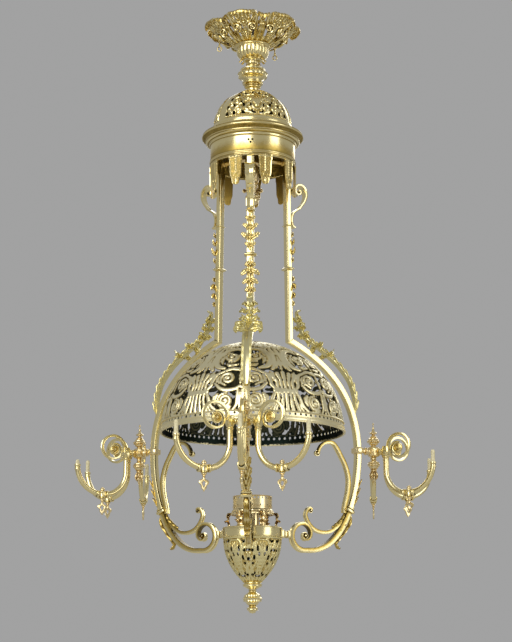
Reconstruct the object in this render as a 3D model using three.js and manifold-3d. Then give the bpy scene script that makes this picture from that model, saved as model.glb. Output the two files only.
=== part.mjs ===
// Brass gasolier of the late nineteenth century, hung by its supply pipe from the ceiling.
// Three arms drop from a drum under the canopy, pass outside a pierced dome and meet a ring
// with a round burner, a pierced basket and a finial. Each arm carries a bracket urn with
// three gas branches, and each branch has its own cock and burner.
// Millimetres, +Z up. The origin is the seat of the ceiling pipe, so all heights are negative.
// The first arm points along -Y.
import * as THREE from "three";
import { mergeVertices } from "three/addons/utils/BufferGeometryUtils.js";
import Module from "manifold-3d";

const wasm = await Module();
wasm.setup();

// Counts and clearances
const ARMS = 3;
const BRANCHES_PER_ARM = 3;
const BRANCH_SPREAD = 60;
const PENDANTS = 9;
const DOME_REPEATS = 6;
const GALLERY_FEET = 6;
const GAP = 0.3;

// Supply pipe and coupling
const PIPE_RADIUS = 10.5;
const PIPE_BORE = 7.5;
const PIPE_SIDES = 12;
const PIPE_TOP = -18;
const PIPE_FIT = PIPE_RADIUS + GAP;
const COUPLING_ACROSS_FLATS = 34;
const COUPLING_LENGTH = 36;

// Canopy and stem
const CROWN_BOTTOM = -57;
const CROWN_RIM = 117;
const CROWN_LEAVES = 6;
const CROWN_TURN = 18;
const BELL_BOTTOM = -97;
const BELL_FLUTES = 16;
const KNOP_LOBES = 8;
const KNOP_BOTTOM = -187;

// Upper dome and drum
const UPPER_DOME_RADIUS = 105;
const UPPER_DOME_SPRING = -291;
const UPPER_DOME_FOOT = -300;
const DRUM_RADIUS = 111.8;
const DRUM_INNER = 110.2;
const DRUM_BOTTOM = -396;
const DRUM_SIDES = 24;

// Gas distributor and main cock
const HUB_TOP = -352;
const HUB_BOTTOM = -392;
const PIPE_FOOT = -366;
const HUB_RADIUS = 20;
const OUTLET_HEIGHT = -372;
const OUTLET_RADIUS = 7;
const OUTLET_BORE = 4;
const MAIN_BARREL_BOTTOM = -440;
const MAIN_PLUG_RADIUS = 6.5;

// Arms: a rectangular brass tube bent in one upright plane
const ARM_WIDTH = 18.5;
const ARM_DEPTH = 14;
const ARM_WALL = 1.6;
const ARM_TOP = [101, -356];
const ARM_CORNER = [107.5, -857];
const ARM_WIDEST = [311, -1140];
const ARM_FOOT = [163, -1399];
const ARM_COLLAR_HEIGHT = -664;
const LOWER_JOINT = 0.44;

// Pierced dome
const DOME_RADIUS = 235;
const DOME_RIM = -1107.4;
const DOME_WALL = 2.4;
const DOME_EYE = 24;

// Brackets and branches: the urn's axis stands on radius BRACKET_RADIUS
const BRACKET_RADIUS = 360;
const BRACKET_HEIGHT = -1134;
const TUBE_RADIUS = 7.3;
const DROP_DISTANCE = 38;
const FIRST_BEND = 62.5;
const SECOND_BEND = 75;
const FIRST_BEND_HEIGHT = -1186;
const CUP_HEIGHT = -1178;
const COCK_DISTANCE = 104;
const PLUG_RADIUS = 4.4;
const NECK_START = 16.6;
const CUP_RISE = 5;
const CUP_SEAT_RADIUS = 6.4;
const CUP_SEAT_DEPTH = 1.2;
const VOLUTE_RADIUS = 31;
const BURNER_HEIGHT = 32;
const SHORT_BURNER_HEIGHT = 12;

// Bottom ring, gallery, burner, basket
const RING_RADIUS = 76;
const RING_INNER = 72;
const RING_TOP = -1349;
const RING_BOTTOM = -1374.6;
const BOSS_REACH = 106.4;
const GALLERY_RADIUS = 49.5;
const GALLERY_TOP = -1270;
const GALLERY_BOTTOM = -1313;
const BASKET_BOTTOM = -1486;
const FINIAL_TIP = -1563.2;

// Colours of the brass, by finish
const BRASS = { color: 0xc9a94f, roughness: 0.32, metalness: 1 };
const OLD_GOLD = { color: 0xb89c58, roughness: 0.45, metalness: 1 };
const GREEN_BRASS = { color: 0x9a9a5c, roughness: 0.5, metalness: 0.9 };
const ROSE_BRASS = { color: 0xcda474, roughness: 0.38, metalness: 1 };
const IRON = { color: 0x5a5148, roughness: 0.6, metalness: 0.8 };
const CERAMIC = { color: 0xd8d2c2, roughness: 0.7, metalness: 0 };

const radians = (degrees) => (degrees * Math.PI) / 180;

// The turn about Z that brings a piece made along +X to the side of the given arm, the first along -Y.
const sideTurn = (index) => radians((360 / ARMS) * index - 90);

// Turns a closed geometry into a solid with its faces out.
function solidOf(geometry) {
  const loose = geometry.index ? geometry.toNonIndexed() : geometry;
  const bare = new THREE.BufferGeometry();
  bare.setAttribute("position", loose.getAttribute("position"));
  const merged = mergeVertices(bare, 1e-4);
  const corners = new Uint32Array(merged.index.array);
  const make = () => {
    const mesh = { numProp: 3, vertProperties: merged.attributes.position.array, triVerts: corners };
    return new wasm.Manifold(new wasm.Mesh(mesh));
  };
  const made = make();
  if (made.volume() >= 0) return made;
  for (let i = 0; i < corners.length; i += 3) {
    [corners[i + 1], corners[i + 2]] = [corners[i + 2], corners[i + 1]];
  }
  return make();
}

// Joins a list of geometries into one solid.
function joined(...geometries) {
  return geometries.map(solidOf).reduce((whole, next) => whole.add(next));
}

// Puts several separate geometries into one, so that they cut in a single step.
function gathered(geometries) {
  const positions = geometries.flatMap((geometry) => {
    const loose = geometry.index ? geometry.toNonIndexed() : geometry;
    return Array.from(loose.getAttribute("position").array);
  });
  return new THREE.BufferGeometry().setAttribute("position", new THREE.Float32BufferAttribute(positions, 3));
}

// Gives a solid back as a drawable geometry.
function geometryOf(solid) {
  const { vertProperties, triVerts } = solid.getMesh();
  const geometry = new THREE.BufferGeometry();
  geometry.setAttribute("position", new THREE.BufferAttribute(new Float32Array(vertProperties), 3));
  geometry.setIndex(new THREE.BufferAttribute(new Uint32Array(triVerts), 1));
  const flat = geometry.toNonIndexed();
  flat.computeVertexNormals();
  return flat;
}

// A named mesh of one solid.
function piece(name, solid, finish) {
  const mesh = new THREE.Mesh(geometryOf(solid), new THREE.MeshStandardMaterial(finish));
  mesh.name = name;
  return mesh;
}

// Turns a profile of [radius, height] points round the Z axis. A profile off the axis closes on itself.
function turned(profile, sides) {
  const points = profile.map(([radius, height]) => new THREE.Vector2(radius, height));
  const offAxis = profile[0][0] > 0 || profile[profile.length - 1][0] > 0;
  if (offAxis) points.push(points[0].clone());
  return new THREE.LatheGeometry(points, sides).rotateX(Math.PI / 2);
}

// An upright round or polygonal rod between two heights.
function rod(radius, top, bottom, sides) {
  const height = top - bottom;
  const geometry = new THREE.CylinderGeometry(radius, radius, height, sides).rotateX(Math.PI / 2);
  return geometry.translate(0, 0, bottom + height / 2);
}

// A rod along the X axis between two distances, at a height.
function crossRod(radius, near, far, height, sides) {
  const geometry = new THREE.CylinderGeometry(radius, radius, far - near, sides).rotateZ(Math.PI / 2);
  return geometry.translate((near + far) / 2, 0, height);
}

// A box between two corners.
function block(low, high) {
  const size = high.map((value, i) => value - low[i]);
  const middle = high.map((value, i) => (value + low[i]) / 2);
  return new THREE.BoxGeometry(...size).translate(...middle);
}

// Moves every vertex of a geometry by a rule that is given its azimuth, radius and height.
function reshaped(geometry, rule) {
  const place = geometry.attributes.position;
  for (let i = 0; i < place.count; i += 1) {
    const radius = Math.hypot(place.getX(i), place.getY(i));
    if (radius < 1e-6) continue;
    const azimuth = Math.atan2(place.getX(i), -place.getY(i));
    const [newRadius, newHeight] = rule(azimuth, radius, place.getZ(i));
    const ratio = newRadius / radius;
    place.setXYZ(i, place.getX(i) * ratio, place.getY(i) * ratio, newHeight);
  }
  return geometry;
}

// Flutes: the radius is drawn in between the lobes, by a depth that depends on the height.
function fluted(geometry, lobes, depthAt) {
  return reshaped(geometry, (azimuth, radius, height) => {
    const valley = 0.5 - 0.5 * Math.cos(lobes * azimuth);
    return [radius - depthAt(height, radius) * valley, height];
  });
}

// A path through chosen stations in the XZ plane. Its tangent at a corner halves the bend.
class StationPath extends THREE.Curve {
  constructor(stations) {
    super();
    this.stations = stations.map(([distance, height]) => new THREE.Vector3(distance, 0, height));
  }
  getPoint(t) {
    const place = t * (this.stations.length - 1);
    const index = Math.min(Math.floor(place), this.stations.length - 2);
    return this.stations[index].clone().lerp(this.stations[index + 1], place - index);
  }
  getSpacedPoints() {
    return this.stations.map((station) => station.clone());
  }
  getTangentAt(u) {
    const last = this.stations.length - 1;
    const index = Math.round(u * last);
    const before = this.stations[Math.max(index - 1, 0)];
    const here = this.stations[index];
    const after = this.stations[Math.min(index + 1, last)];
    const into = here.clone().sub(before).normalize();
    const out = after.clone().sub(here).normalize();
    return into.add(out).normalize();
  }
}

// A bar of constant section along a path of stations.
function bar(stations, shape) {
  const extrudePath = new StationPath(stations);
  const settings = { steps: stations.length - 1, bevelEnabled: false, extrudePath };
  return new THREE.ExtrudeGeometry(shape, settings);
}

// A closed polygon shape with the given number of sides.
function polygonShape(radius, sides) {
  const shape = new THREE.Shape();
  for (let i = 0; i < sides; i += 1) {
    const angle = ((i + 0.5) / sides) * 2 * Math.PI;
    const corner = [radius * Math.cos(angle), radius * Math.sin(angle)];
    if (i === 0) shape.moveTo(...corner);
    else shape.lineTo(...corner);
  }
  shape.closePath();
  return shape;
}

// A rectangle, the width lying across the arm's plane.
function rectangleShape(width, depth) {
  const shape = new THREE.Shape();
  shape.moveTo(-width / 2, -depth / 2);
  shape.lineTo(width / 2, -depth / 2);
  shape.lineTo(width / 2, depth / 2);
  shape.lineTo(-width / 2, depth / 2);
  shape.closePath();
  return shape;
}

// Points on a cubic curve in the XZ plane.
function cubic(start, pullStart, pullEnd, end, count) {
  const points = [start, pullStart, pullEnd, end].map((place) => new THREE.Vector2(...place));
  const curve = new THREE.CubicBezierCurve(...points);
  return curve.getPoints(count).map((point) => [point.x, point.y]);
}

// Points on an arc whose radius changes evenly with its angle, in degrees.
function spiral(centre, fromAngle, toAngle, fromRadius, toRadius, count) {
  return Array.from({ length: count + 1 }, (_, i) => {
    const share = i / count;
    const angle = radians(fromAngle + share * (toAngle - fromAngle));
    const radius = fromRadius + share * (toRadius - fromRadius);
    return [centre[0] + radius * Math.cos(angle), centre[1] + radius * Math.sin(angle)];
  });
}

// Skin over equal rings of points, with a flat fan over each end.
function loft(rings) {
  const sides = rings[0].length;
  const vertices = rings.flat();
  const faces = [];
  for (let i = 0; i < rings.length - 1; i += 1) {
    for (let j = 0; j < sides; j += 1) {
      const a = i * sides + j;
      const b = i * sides + ((j + 1) % sides);
      faces.push([a, b, b + sides], [a, b + sides, a + sides]);
    }
  }
  for (let j = 1; j < sides - 1; j += 1) {
    const end = (rings.length - 1) * sides;
    faces.push([0, j + 1, j], [end, end + j, end + j + 1]);
  }
  const positions = faces.flatMap((face) => face.flatMap((index) => vertices[index]));
  return new THREE.BufferGeometry().setAttribute("position", new THREE.Float32BufferAttribute(positions, 3));
}

// A strip along a path in the XZ plane whose half width, thickness and curl change at each station.
// The section is a low ridge whose two edges lie off the path by the curl.
function strip(stations, widths, thickness, curl) {
  const path = new StationPath(stations);
  const last = stations.length - 1;
  const rings = stations.map(([distance, height], i) => {
    const tangent = path.getTangentAt(i / last);
    const across = widths[i];
    const rise = curl * Math.max(0, (across - widths[0]) / 10);
    const half = thickness / 2;
    const section = [[-across, rise - half * 0.6], [0, -half], [across, rise - half * 0.6]];
    section.push([across, rise + half * 0.6], [0, half], [-across, rise + half * 0.6]);
    return section.map(([y, out]) => [distance + tangent.z * -out, y, height + tangent.x * out]);
  });
  return loft(rings);
}

// A band along a path in the XZ plane that narrows from one depth to another.
function taperedBand(stations, width, depthStart, depthEnd) {
  const path = new StationPath(stations);
  const last = stations.length - 1;
  const rings = stations.map(([distance, height], i) => {
    const tangent = path.getTangentAt(i / last);
    const half = (depthStart + (i / last) * (depthEnd - depthStart)) / 2;
    const corners = [[-width / 2, -half], [width / 2, -half], [width / 2, half], [-width / 2, half]];
    return corners.map(([y, out]) => [distance - tangent.z * out, y, height + tangent.x * out]);
  });
  return loft(rings);
}

// A thin shell of revolution made of cells, some of which are open.
// surfaceAt(azimuth, level, inset) gives [radius, height] on the outer skin (inset 0) or the inner
// one (inset 1). openAt(column, row) gives null, or an opening as four [u, v] places in its cell,
// one beside each edge of the cell, in the order bottom, right, top, left.
function cellShell(columns, levels, surfaceAt, openAt) {
  const positions = [];
  const point = (column, level, inset) => {
    const azimuth = ((column % columns) / columns) * 2 * Math.PI;
    const [radius, height] = surfaceAt(azimuth, level, inset);
    return [radius * Math.sin(azimuth), -radius * Math.cos(azimuth), height];
  };
  const quad = (a, b, c, d) => positions.push(...a, ...b, ...c, ...a, ...c, ...d);
  for (let row = 0; row < levels.length - 1; row += 1) {
    for (let column = 0; column < columns; column += 1) {
      const open = openAt(column, row);
      const place = ([u, v], inset) => {
        const level = levels[row] + v * (levels[row + 1] - levels[row]);
        return point(column + u, level, inset);
      };
      const corners = [[0, 0], [1, 0], [1, 1], [0, 1]];
      for (const inset of [0, 1]) {
        const cell = corners.map((corner) => point(column + corner[0], levels[row + corner[1]], inset));
        const hole = open ? open.map((corner) => place(corner, inset)) : null;
        if (!hole && inset === 0) quad(cell[0], cell[1], cell[2], cell[3]);
        if (!hole && inset === 1) quad(cell[3], cell[2], cell[1], cell[0]);
        for (let k = 0; hole && k < 4; k += 1) {
          const next = (k + 1) % 4;
          if (inset === 0) {
            positions.push(...cell[k], ...cell[next], ...hole[k]);
            positions.push(...cell[next], ...hole[next], ...hole[k]);
          } else {
            positions.push(...cell[next], ...cell[k], ...hole[k]);
            positions.push(...hole[next], ...cell[next], ...hole[k]);
          }
        }
      }
      for (let k = 0; open && k < 4; k += 1) {
        const next = (k + 1) % 4;
        quad(place(open[k], 0), place(open[next], 0), place(open[next], 1), place(open[k], 1));
      }
    }
  }
  const last = levels[levels.length - 1];
  for (let column = 0; column < columns; column += 1) {
    const top = [point(column, levels[0], 0), point(column + 1, levels[0], 0)];
    const topInside = [point(column, levels[0], 1), point(column + 1, levels[0], 1)];
    quad(topInside[0], topInside[1], top[1], top[0]);
    const low = [point(column, last, 0), point(column + 1, last, 0)];
    const lowInside = [point(column, last, 1), point(column + 1, last, 1)];
    quad(low[0], low[1], lowInside[1], lowInside[0]);
  }
  return new THREE.BufferGeometry().setAttribute("position", new THREE.Float32BufferAttribute(positions, 3));
}

// A four-cornered opening: its middle, half width and half height in cell shares, and its lean.
function kite(middle, halfWidth, halfHeight, lean = 0) {
  const [u, v] = middle;
  return [[u - lean, v - halfHeight], [u + halfWidth, v], [u + lean, v + halfHeight], [u - halfWidth, v]];
}

// The same opening seen in a mirror across the cell.
function mirroredOpening([bottom, right, top, left]) {
  const flip = ([u, v]) => [1 - u, v];
  return [flip(bottom), flip(left), flip(top), flip(right)];
}

// Ceiling coupling: a hexagonal socket whose top face seats the ceiling pipe.
function pipeCoupling() {
  const corner = COUPLING_ACROSS_FLATS / 2 / Math.cos(Math.PI / 6);
  const outside = solidOf(rod(corner, 0, -COUPLING_LENGTH, 6));
  return outside.subtract(solidOf(rod(PIPE_FIT, 1, -COUPLING_LENGTH - 1, PIPE_SIDES)));
}

// Iron supply pipe from the coupling down into the distributor.
function supplyPipe() {
  const outside = [[PIPE_RADIUS, PIPE_TOP], [PIPE_RADIUS, PIPE_FOOT]];
  const wall = [[PIPE_BORE, PIPE_TOP], ...outside, [PIPE_BORE, PIPE_FOOT]];
  return solidOf(turned(wall, PIPE_SIDES));
}

// Canopy crown: an open cup of six broad leaves with pierced roots.
function canopyCrown() {
  const skin = [[46, CROWN_BOTTOM], [62, -45.5], [92, -27], [CROWN_RIM, -6]];
  const perLeaf = 4;
  const wall = 2.2;
  const surfaceAt = (azimuth, level, inset) => {
    const row = Math.min(Math.floor(level), skin.length - 2);
    const share = level - row;
    const base = skin[row].map((value, k) => value + share * (skin[row + 1][k] - value));
    const reach = Math.max(0, (base[0] - 52) / (CROWN_RIM - 52));
    const leaf = Math.cos(CROWN_LEAVES * azimuth - Math.PI);
    const radius = base[0] * (1 + 0.11 * reach * leaf) - (level > 0 ? wall / 2 : wall + 1) * inset;
    return [radius, base[1] + 5 * reach * leaf + (level > 0 ? wall * inset : 0)];
  };
  const openAt = (column, row) => {
    const place = column % perLeaf;
    return row === 1 && (place === 0 || place === perLeaf - 1) ? kite([0.5, 0.45], 0.36, 0.34) : null;
  };
  const shell = cellShell(CROWN_LEAVES * perLeaf, [0, 1, 2, 3], surfaceAt, openAt);
  return solidOf(shell.rotateZ(radians(CROWN_TURN)));
}

// Fluted bell that carries the crown.
function canopyBell() {
  const top = CROWN_BOTTOM - GAP;
  const fluteTop = -73;
  const fluteFoot = -91;
  const outer = [[48.5, top], [49, -62], [43.5, -66], [43, fluteTop], [30, fluteFoot]];
  const foot = [[24.5, BELL_BOTTOM], [PIPE_FIT, BELL_BOTTOM], [PIPE_FIT, -93]];
  const inner = [[37.5, -71], [41, top]];
  const near = (height, level) => Math.abs(height - level) < 0.5;
  const depth = (height) => (near(height, fluteTop) || near(height, fluteFoot) ? 3 : 0);
  return solidOf(fluted(turned([...outer, ...foot, ...inner], BELL_FLUTES * 2), BELL_FLUTES, depth));
}

// Turned neck, lobed knop and its two rings, one casting that slides on the pipe.
function stemKnop() {
  const top = BELL_BOTTOM - GAP;
  const neck = [[15, top], [13, -102], [13, -109], [15.5, -115.5]];
  const knop = [[33, -125], [40, -137], [38.5, -146], [24, -158.5], [27, -161], [27, -166]];
  const foot = [[19, -169], [22, -174.5], [15.5, -180], [15.5, KNOP_BOTTOM]];
  const bore = [[PIPE_FIT, KNOP_BOTTOM], [PIPE_FIT, top]];
  const depth = (height) => (height < -120 && height > -157 ? 5 : 0);
  return solidOf(fluted(turned([...neck, ...knop, ...foot, ...bore], KNOP_LOBES * 2), KNOP_LOBES, depth));
}

// Upper dome: a thin pierced shell that rests on the pipe's fit above and flares into a foot below.
function upperDome() {
  const rise = KNOP_BOTTOM - GAP - UPPER_DOME_SPRING;
  const wall = 2.2;
  const columns = 18;
  const eye = (Math.asin(PIPE_FIT / UPPER_DOME_RADIUS) * 180) / Math.PI;
  const spring = 90;
  const foot = 100;
  const surfaceAt = (azimuth, level, inset) => {
    if (level > spring) return [UPPER_DOME_RADIUS + 3.5 - (wall + 3.5) * inset, UPPER_DOME_FOOT];
    const angle = radians(level);
    const radius = (UPPER_DOME_RADIUS - wall * inset) * Math.sin(angle);
    return [Math.max(radius, PIPE_FIT), UPPER_DOME_SPRING + (rise - wall * inset) * Math.cos(angle)];
  };
  const openAt = (column, row) => {
    const side = column % 2 === 1 ? 1 : -1;
    if (row === 1) return kite([0.5, 0.5], 0.34, 0.38, 0.16 * side);
    if (row === 2) return kite([0.5 - 0.1 * side, 0.5], 0.28, 0.4, -0.16 * side);
    return null;
  };
  return solidOf(cellShell(columns, [eye, 30, 50, 72, spring, foot], surfaceAt, openAt));
}

// Drum: stepped cornice, plain band and bottom bead, spun from one sheet.
function drumBand() {
  const top = UPPER_DOME_FOOT - GAP;
  const cornice = [[104, top], [110, top], [135, -315], [135.5, -320], [125, -331], [115, -342]];
  const band = [[112, -347], [DRUM_RADIUS, -384], [114.6, -390], [112.6, DRUM_BOTTOM]];
  const bore = [[DRUM_INNER, DRUM_BOTTOM], [DRUM_INNER, -344]];
  const inside = [...bore, [131, -317.5], [109, -303.5], [104, -303.5]];
  return solidOf(turned([...cornice, ...band, ...inside], DRUM_SIDES));
}

// Distributor: a hub under the pipe with one outlet to each arm and the main cock's barrel below.
function gasDistributor() {
  const reach = ARM_TOP[0] - ARM_DEPTH / 2 - GAP;
  const socketBottom = PIPE_FOOT - GAP;
  const shoulder = [[0, HUB_TOP], [HUB_RADIUS - 3, HUB_TOP], [HUB_RADIUS, HUB_TOP - 4]];
  const body = [...shoulder, [HUB_RADIUS, HUB_BOTTOM]];
  const barrel = [[13, HUB_BOTTOM - 4], [13, -404], [16.5, -409], [16.5, -424], [13, -429]];
  const end = [[13, MAIN_BARREL_BOTTOM], [0, MAIN_BARREL_BOTTOM]];
  const sides = Array.from({ length: ARMS }, (_, i) => sideTurn(i));
  const towardsArms = (geometryAt) => sides.map((turn) => geometryAt().rotateZ(turn));
  const outlets = towardsArms(() => crossRod(OUTLET_RADIUS, 0, reach, OUTLET_HEIGHT, 6));
  const bores = towardsArms(() => crossRod(OUTLET_BORE, 3, reach + 1, OUTLET_HEIGHT, 4));
  const outside = joined(turned([...body, ...barrel, ...end], PIPE_SIDES), ...outlets);
  const socket = rod(PIPE_FIT, HUB_TOP + 1, socketBottom, PIPE_SIDES);
  const gasway = rod(MAIN_PLUG_RADIUS + 0.5, socketBottom + 1, MAIN_BARREL_BOTTOM - 1, PIPE_SIDES);
  return [socket, gasway, ...bores].reduce((solid, hollow) => solid.subtract(solidOf(hollow)), outside);
}

// Main cock key: plug, two-lobed handle and a turned drop with a small ring.
function mainCockKey() {
  const top = MAIN_BARREL_BOTTOM - GAP;
  const plugTop = -396;
  const plug = [[0, plugTop], [MAIN_PLUG_RADIUS - 0.4, plugTop], [MAIN_PLUG_RADIUS - 0.4, top]];
  const head = [[12, top], [15, -448], [11, -456], [11, -470], [19, -476], [21, -482]];
  const drop = [[19, -490], [6, -502], [0, -502]];
  const wing = new THREE.CapsuleGeometry(5.5, 44, 2, 6).rotateZ(Math.PI / 2).translate(0, 0, -463);
  const ring = new THREE.TorusGeometry(4.2, 1.4, 4, 8).rotateX(Math.PI / 2).translate(0, 0, -506);
  return joined(turned([...plug, ...head, ...drop], 12), wing, ring);
}

// Pendant ring: nine lambrequin drops on a thin hoop under the drum.
function pendantRing() {
  const top = DRUM_BOTTOM - GAP;
  const hoopDepth = 3;
  const foot = top - hoopDepth;
  const hoopWall = [[DRUM_INNER, top], [112.7, top], [112.7, foot], [DRUM_INNER, foot]];
  const half = [[15, 0], [15, -13], [13, -18], [13, -52], [8.5, -63], [8.5, -72], [4.5, -79]];
  const outline = new THREE.Shape(half.map(([x, y]) => new THREE.Vector2(x, y)));
  [...half].reverse().forEach(([x, y]) => outline.lineTo(-x, y));
  outline.closePath();
  const drops = Array.from({ length: PENDANTS }, (_, i) => {
    const plate = new THREE.ExtrudeGeometry(outline, { depth: 2.6, bevelEnabled: false });
    const azimuth = (360 / PENDANTS) * (i + 0.5);
    return plate.rotateX(Math.PI / 2).translate(0, -110.3, top).rotateZ(radians(azimuth));
  });
  return joined(turned(hoopWall, DRUM_SIDES), ...drops);
}

// The arm's line as two cubic curves: over the dome, and below its widest place.
function armCurves() {
  const points = (list) => list.map((point) => new THREE.Vector2(...point));
  const slope = new THREE.CubicBezierCurve(...points([ARM_CORNER, [215, -905], [311, -985], ARM_WIDEST]));
  const lower = new THREE.CubicBezierCurve(...points([ARM_WIDEST, [311, -1258], [257, -1398], ARM_FOOT]));
  return { slope, lower };
}

// Points of one of those curves between two shares of its length.
function stretch(curve, from, to, count) {
  return Array.from({ length: count + 1 }, (_, i) => {
    const point = curve.getPoint(from + (i / Math.max(count, 1)) * (to - from));
    return [point.x, point.y];
  });
}

// A point off a curve on its outer side, by a distance from its centre line.
function beside(curve, share, distance) {
  const point = curve.getPoint(share);
  const along = curve.getTangent(share);
  return [point.x - along.y * distance, point.y + along.x * distance];
}

// Leaf sprig on the tube's outer face. The widths alternate between leaf tips and waists.
function sprig(top, bottom, widths) {
  const count = widths.length - 1;
  const lean = (ARM_CORNER[0] - ARM_TOP[0]) / (ARM_CORNER[1] - ARM_TOP[1]);
  const stations = widths.map((_, i) => {
    const height = top + (i / count) * (bottom - top);
    return [ARM_TOP[0] + (height - ARM_TOP[1]) * lean + ARM_DEPTH / 2 + 0.8, height];
  });
  return strip(stations, widths, 4, 4.5);
}

// Arm: hollow rectangular tube from the drum over the dome to the lower joint.
function arm() {
  const { slope, lower } = armCurves();
  const bend = [...stretch(slope, 0, 0.93, 6), ...stretch(lower, 0, LOWER_JOINT - 0.03, 2)];
  const line = [ARM_TOP, ...bend, ...stretch(lower, LOWER_JOINT, LOWER_JOINT, 0)];
  const shape = rectangleShape(ARM_WIDTH, ARM_DEPTH);
  shape.holes.push(rectangleShape(ARM_WIDTH - 2 * ARM_WALL, ARM_DEPTH - 2 * ARM_WALL));
  const [capX, capTop] = ARM_TOP;
  const cap = block([capX - 6.4, -8.6, capTop - 4], [capX + 6.4, 8.6, capTop]);
  const collarMiddle = capX + 3.7;
  const collarShape = rectangleShape(32, 25);
  collarShape.holes.push(rectangleShape(ARM_WIDTH - 1, ARM_DEPTH - 1));
  const collarLine = [4, -4].map((rise) => [collarMiddle, ARM_COLLAR_HEIGHT + rise]);
  const collar = bar(collarLine, collarShape);
  const upper = sprig(-562, -636, [5, 19, 9, 24, 6]);
  const under = sprig(-684, -768, [6, 14, 8, 24, 8, 17, 5]);
  const inletX = capX - ARM_DEPTH / 2;
  const inlet = crossRod(OUTLET_BORE, inletX - 3, inletX + 5, OUTLET_HEIGHT, 4);
  const outletX = ARM_WIDEST[0] + ARM_DEPTH / 2;
  const outlet = crossRod(OUTLET_BORE, outletX - 5, outletX + 3, BRACKET_HEIGHT, 4);
  const whole = joined(bar(line, shape), cap, collar, upper, under);
  return whole.subtract(solidOf(inlet)).subtract(solidOf(outlet));
}

// Upper scroll: a broad band from the tube's outer face that rolls in under the cornice.
function upperScroll() {
  const face = ARM_TOP[0] + ARM_DEPTH / 2 + 2.7;
  const foot = [[124, -546], [117.5, -541], [face + 4.2, -531], [face + 5.4, -517]];
  const tail = [...foot, [123, -503], [139, -492]];
  const rise = [[152, -476], [158, -456], [153, -437], [138, -426]];
  const coil = [[122, -431], [116.5, -445], [121, -455], [129, -458]];
  const roll = [...rise, ...coil];
  const band = taperedBand([...tail, ...roll], 22, 4.6, 5);
  const ball = crossCylinder(6.5, 25, [132, -452]);
  const pad = block([face, -7, -537], [face + 5, 7, -515]);
  return joined(band, ball, pad);
}

// A short cylinder lying across the arm's plane.
function crossCylinder(radius, width, [distance, height]) {
  return new THREE.CylinderGeometry(radius, radius, width, 8).translate(distance, 0, height);
}

// Acanthus branch: leaves the arm on its outside, follows the slope and ends in a free leafy tip.
// A small bracket carries it on the arm halfway up.
function acanthusBranch() {
  const foot = [[304.8, -1034], [304, -1008], [299, -982], [289, -955], [275, -935]];
  const slope = [[256, -914], [231, -894], [204, -875], [186, -864]];
  const neck = [[171, -855], [158, -849], [147, -836], [139, -819]];
  const tip = [[133, -806], [129, -790], [130, -777], [137, -764]];
  const widths = [5, 8.5, 8.5, 8.5, 8.5, 8.5, 8.5, 8.5, 9, 27, 10, 19, 8, 18, 8, 13, 2];
  const blade = strip([...foot, ...slope, ...neck, ...tip], widths, 6, 4);
  const { slope: armSlope } = armCurves();
  const bracketShare = 0.33;
  const bracketFoot = beside(armSlope, bracketShare, ARM_DEPTH / 2 + 0.6);
  const bracketHead = beside(armSlope, bracketShare, ARM_DEPTH / 2 + 24);
  return joined(blade, taperedBand([bracketHead, bracketFoot], 8, 9, 9));
}

// Lower scroll: the casting below the joint, with its inner scroll that bears the dome,
// the small scroll inside the curve, the outer leaf and the roll that meets the ring.
function lowerScroll() {
  const { lower } = armCurves();
  const place = lower.getPoint(LOWER_JOINT);
  const along = lower.getTangent(LOWER_JOINT);
  const onward = (distance) => [place.x + along.x * distance, place.y + along.y * distance];
  const rest = stretch(lower, LOWER_JOINT + 0.09, 0.97, 4);
  const rollCentre = [146, -1363];
  const wideTurn = spiral(rollCentre, -75, -270, 37, 30, 5);
  const roll = [...wideTurn, ...spiral(rollCentre, -270, -400, 30, 9, 3).slice(1)];
  const band = taperedBand([onward(4), ...rest, ...roll], ARM_WIDTH - 2.5, 13.5, 8);
  const ball = crossCylinder(8.5, ARM_WIDTH, [149, -1363]);
  const collar = bar([onward(GAP), onward(8)], rectangleShape(28, 26));
  const innerRise = [[270, -1297], [272.5, -1280], [281, -1247], [283.5, -1210], [274, -1176], [257, -1143]];
  const innerRoll = [[245, -1123], [233, -1113.1], [214, -1114], [199, -1125], [189.5, -1142.5]];
  const inner = taperedBand([...innerRise, ...innerRoll], 12, 7, 6);
  const innerBall = crossCylinder(6, 15, [188, -1146]);
  const smallStart = [[263, -1322], [244, -1337], [222, -1350], [178, -1345]];
  const smallLine = [...smallStart, [162, -1330], [153, -1311], [163, -1296]];
  const small = taperedBand(smallLine, 11, 8, 5);
  const smallBall = crossCylinder(5, 13, [166, -1296]);
  const leafLine = [[285, -1303], [284, -1326], [272, -1343], [253, -1366], [244, -1382], [251, -1393]];
  const leaf = strip(leafLine, [6, 8, 7, 9, 7, 3], 4.5, 2);
  return joined(band, ball, collar, inner, innerBall, small, smallBall, leaf);
}

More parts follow.
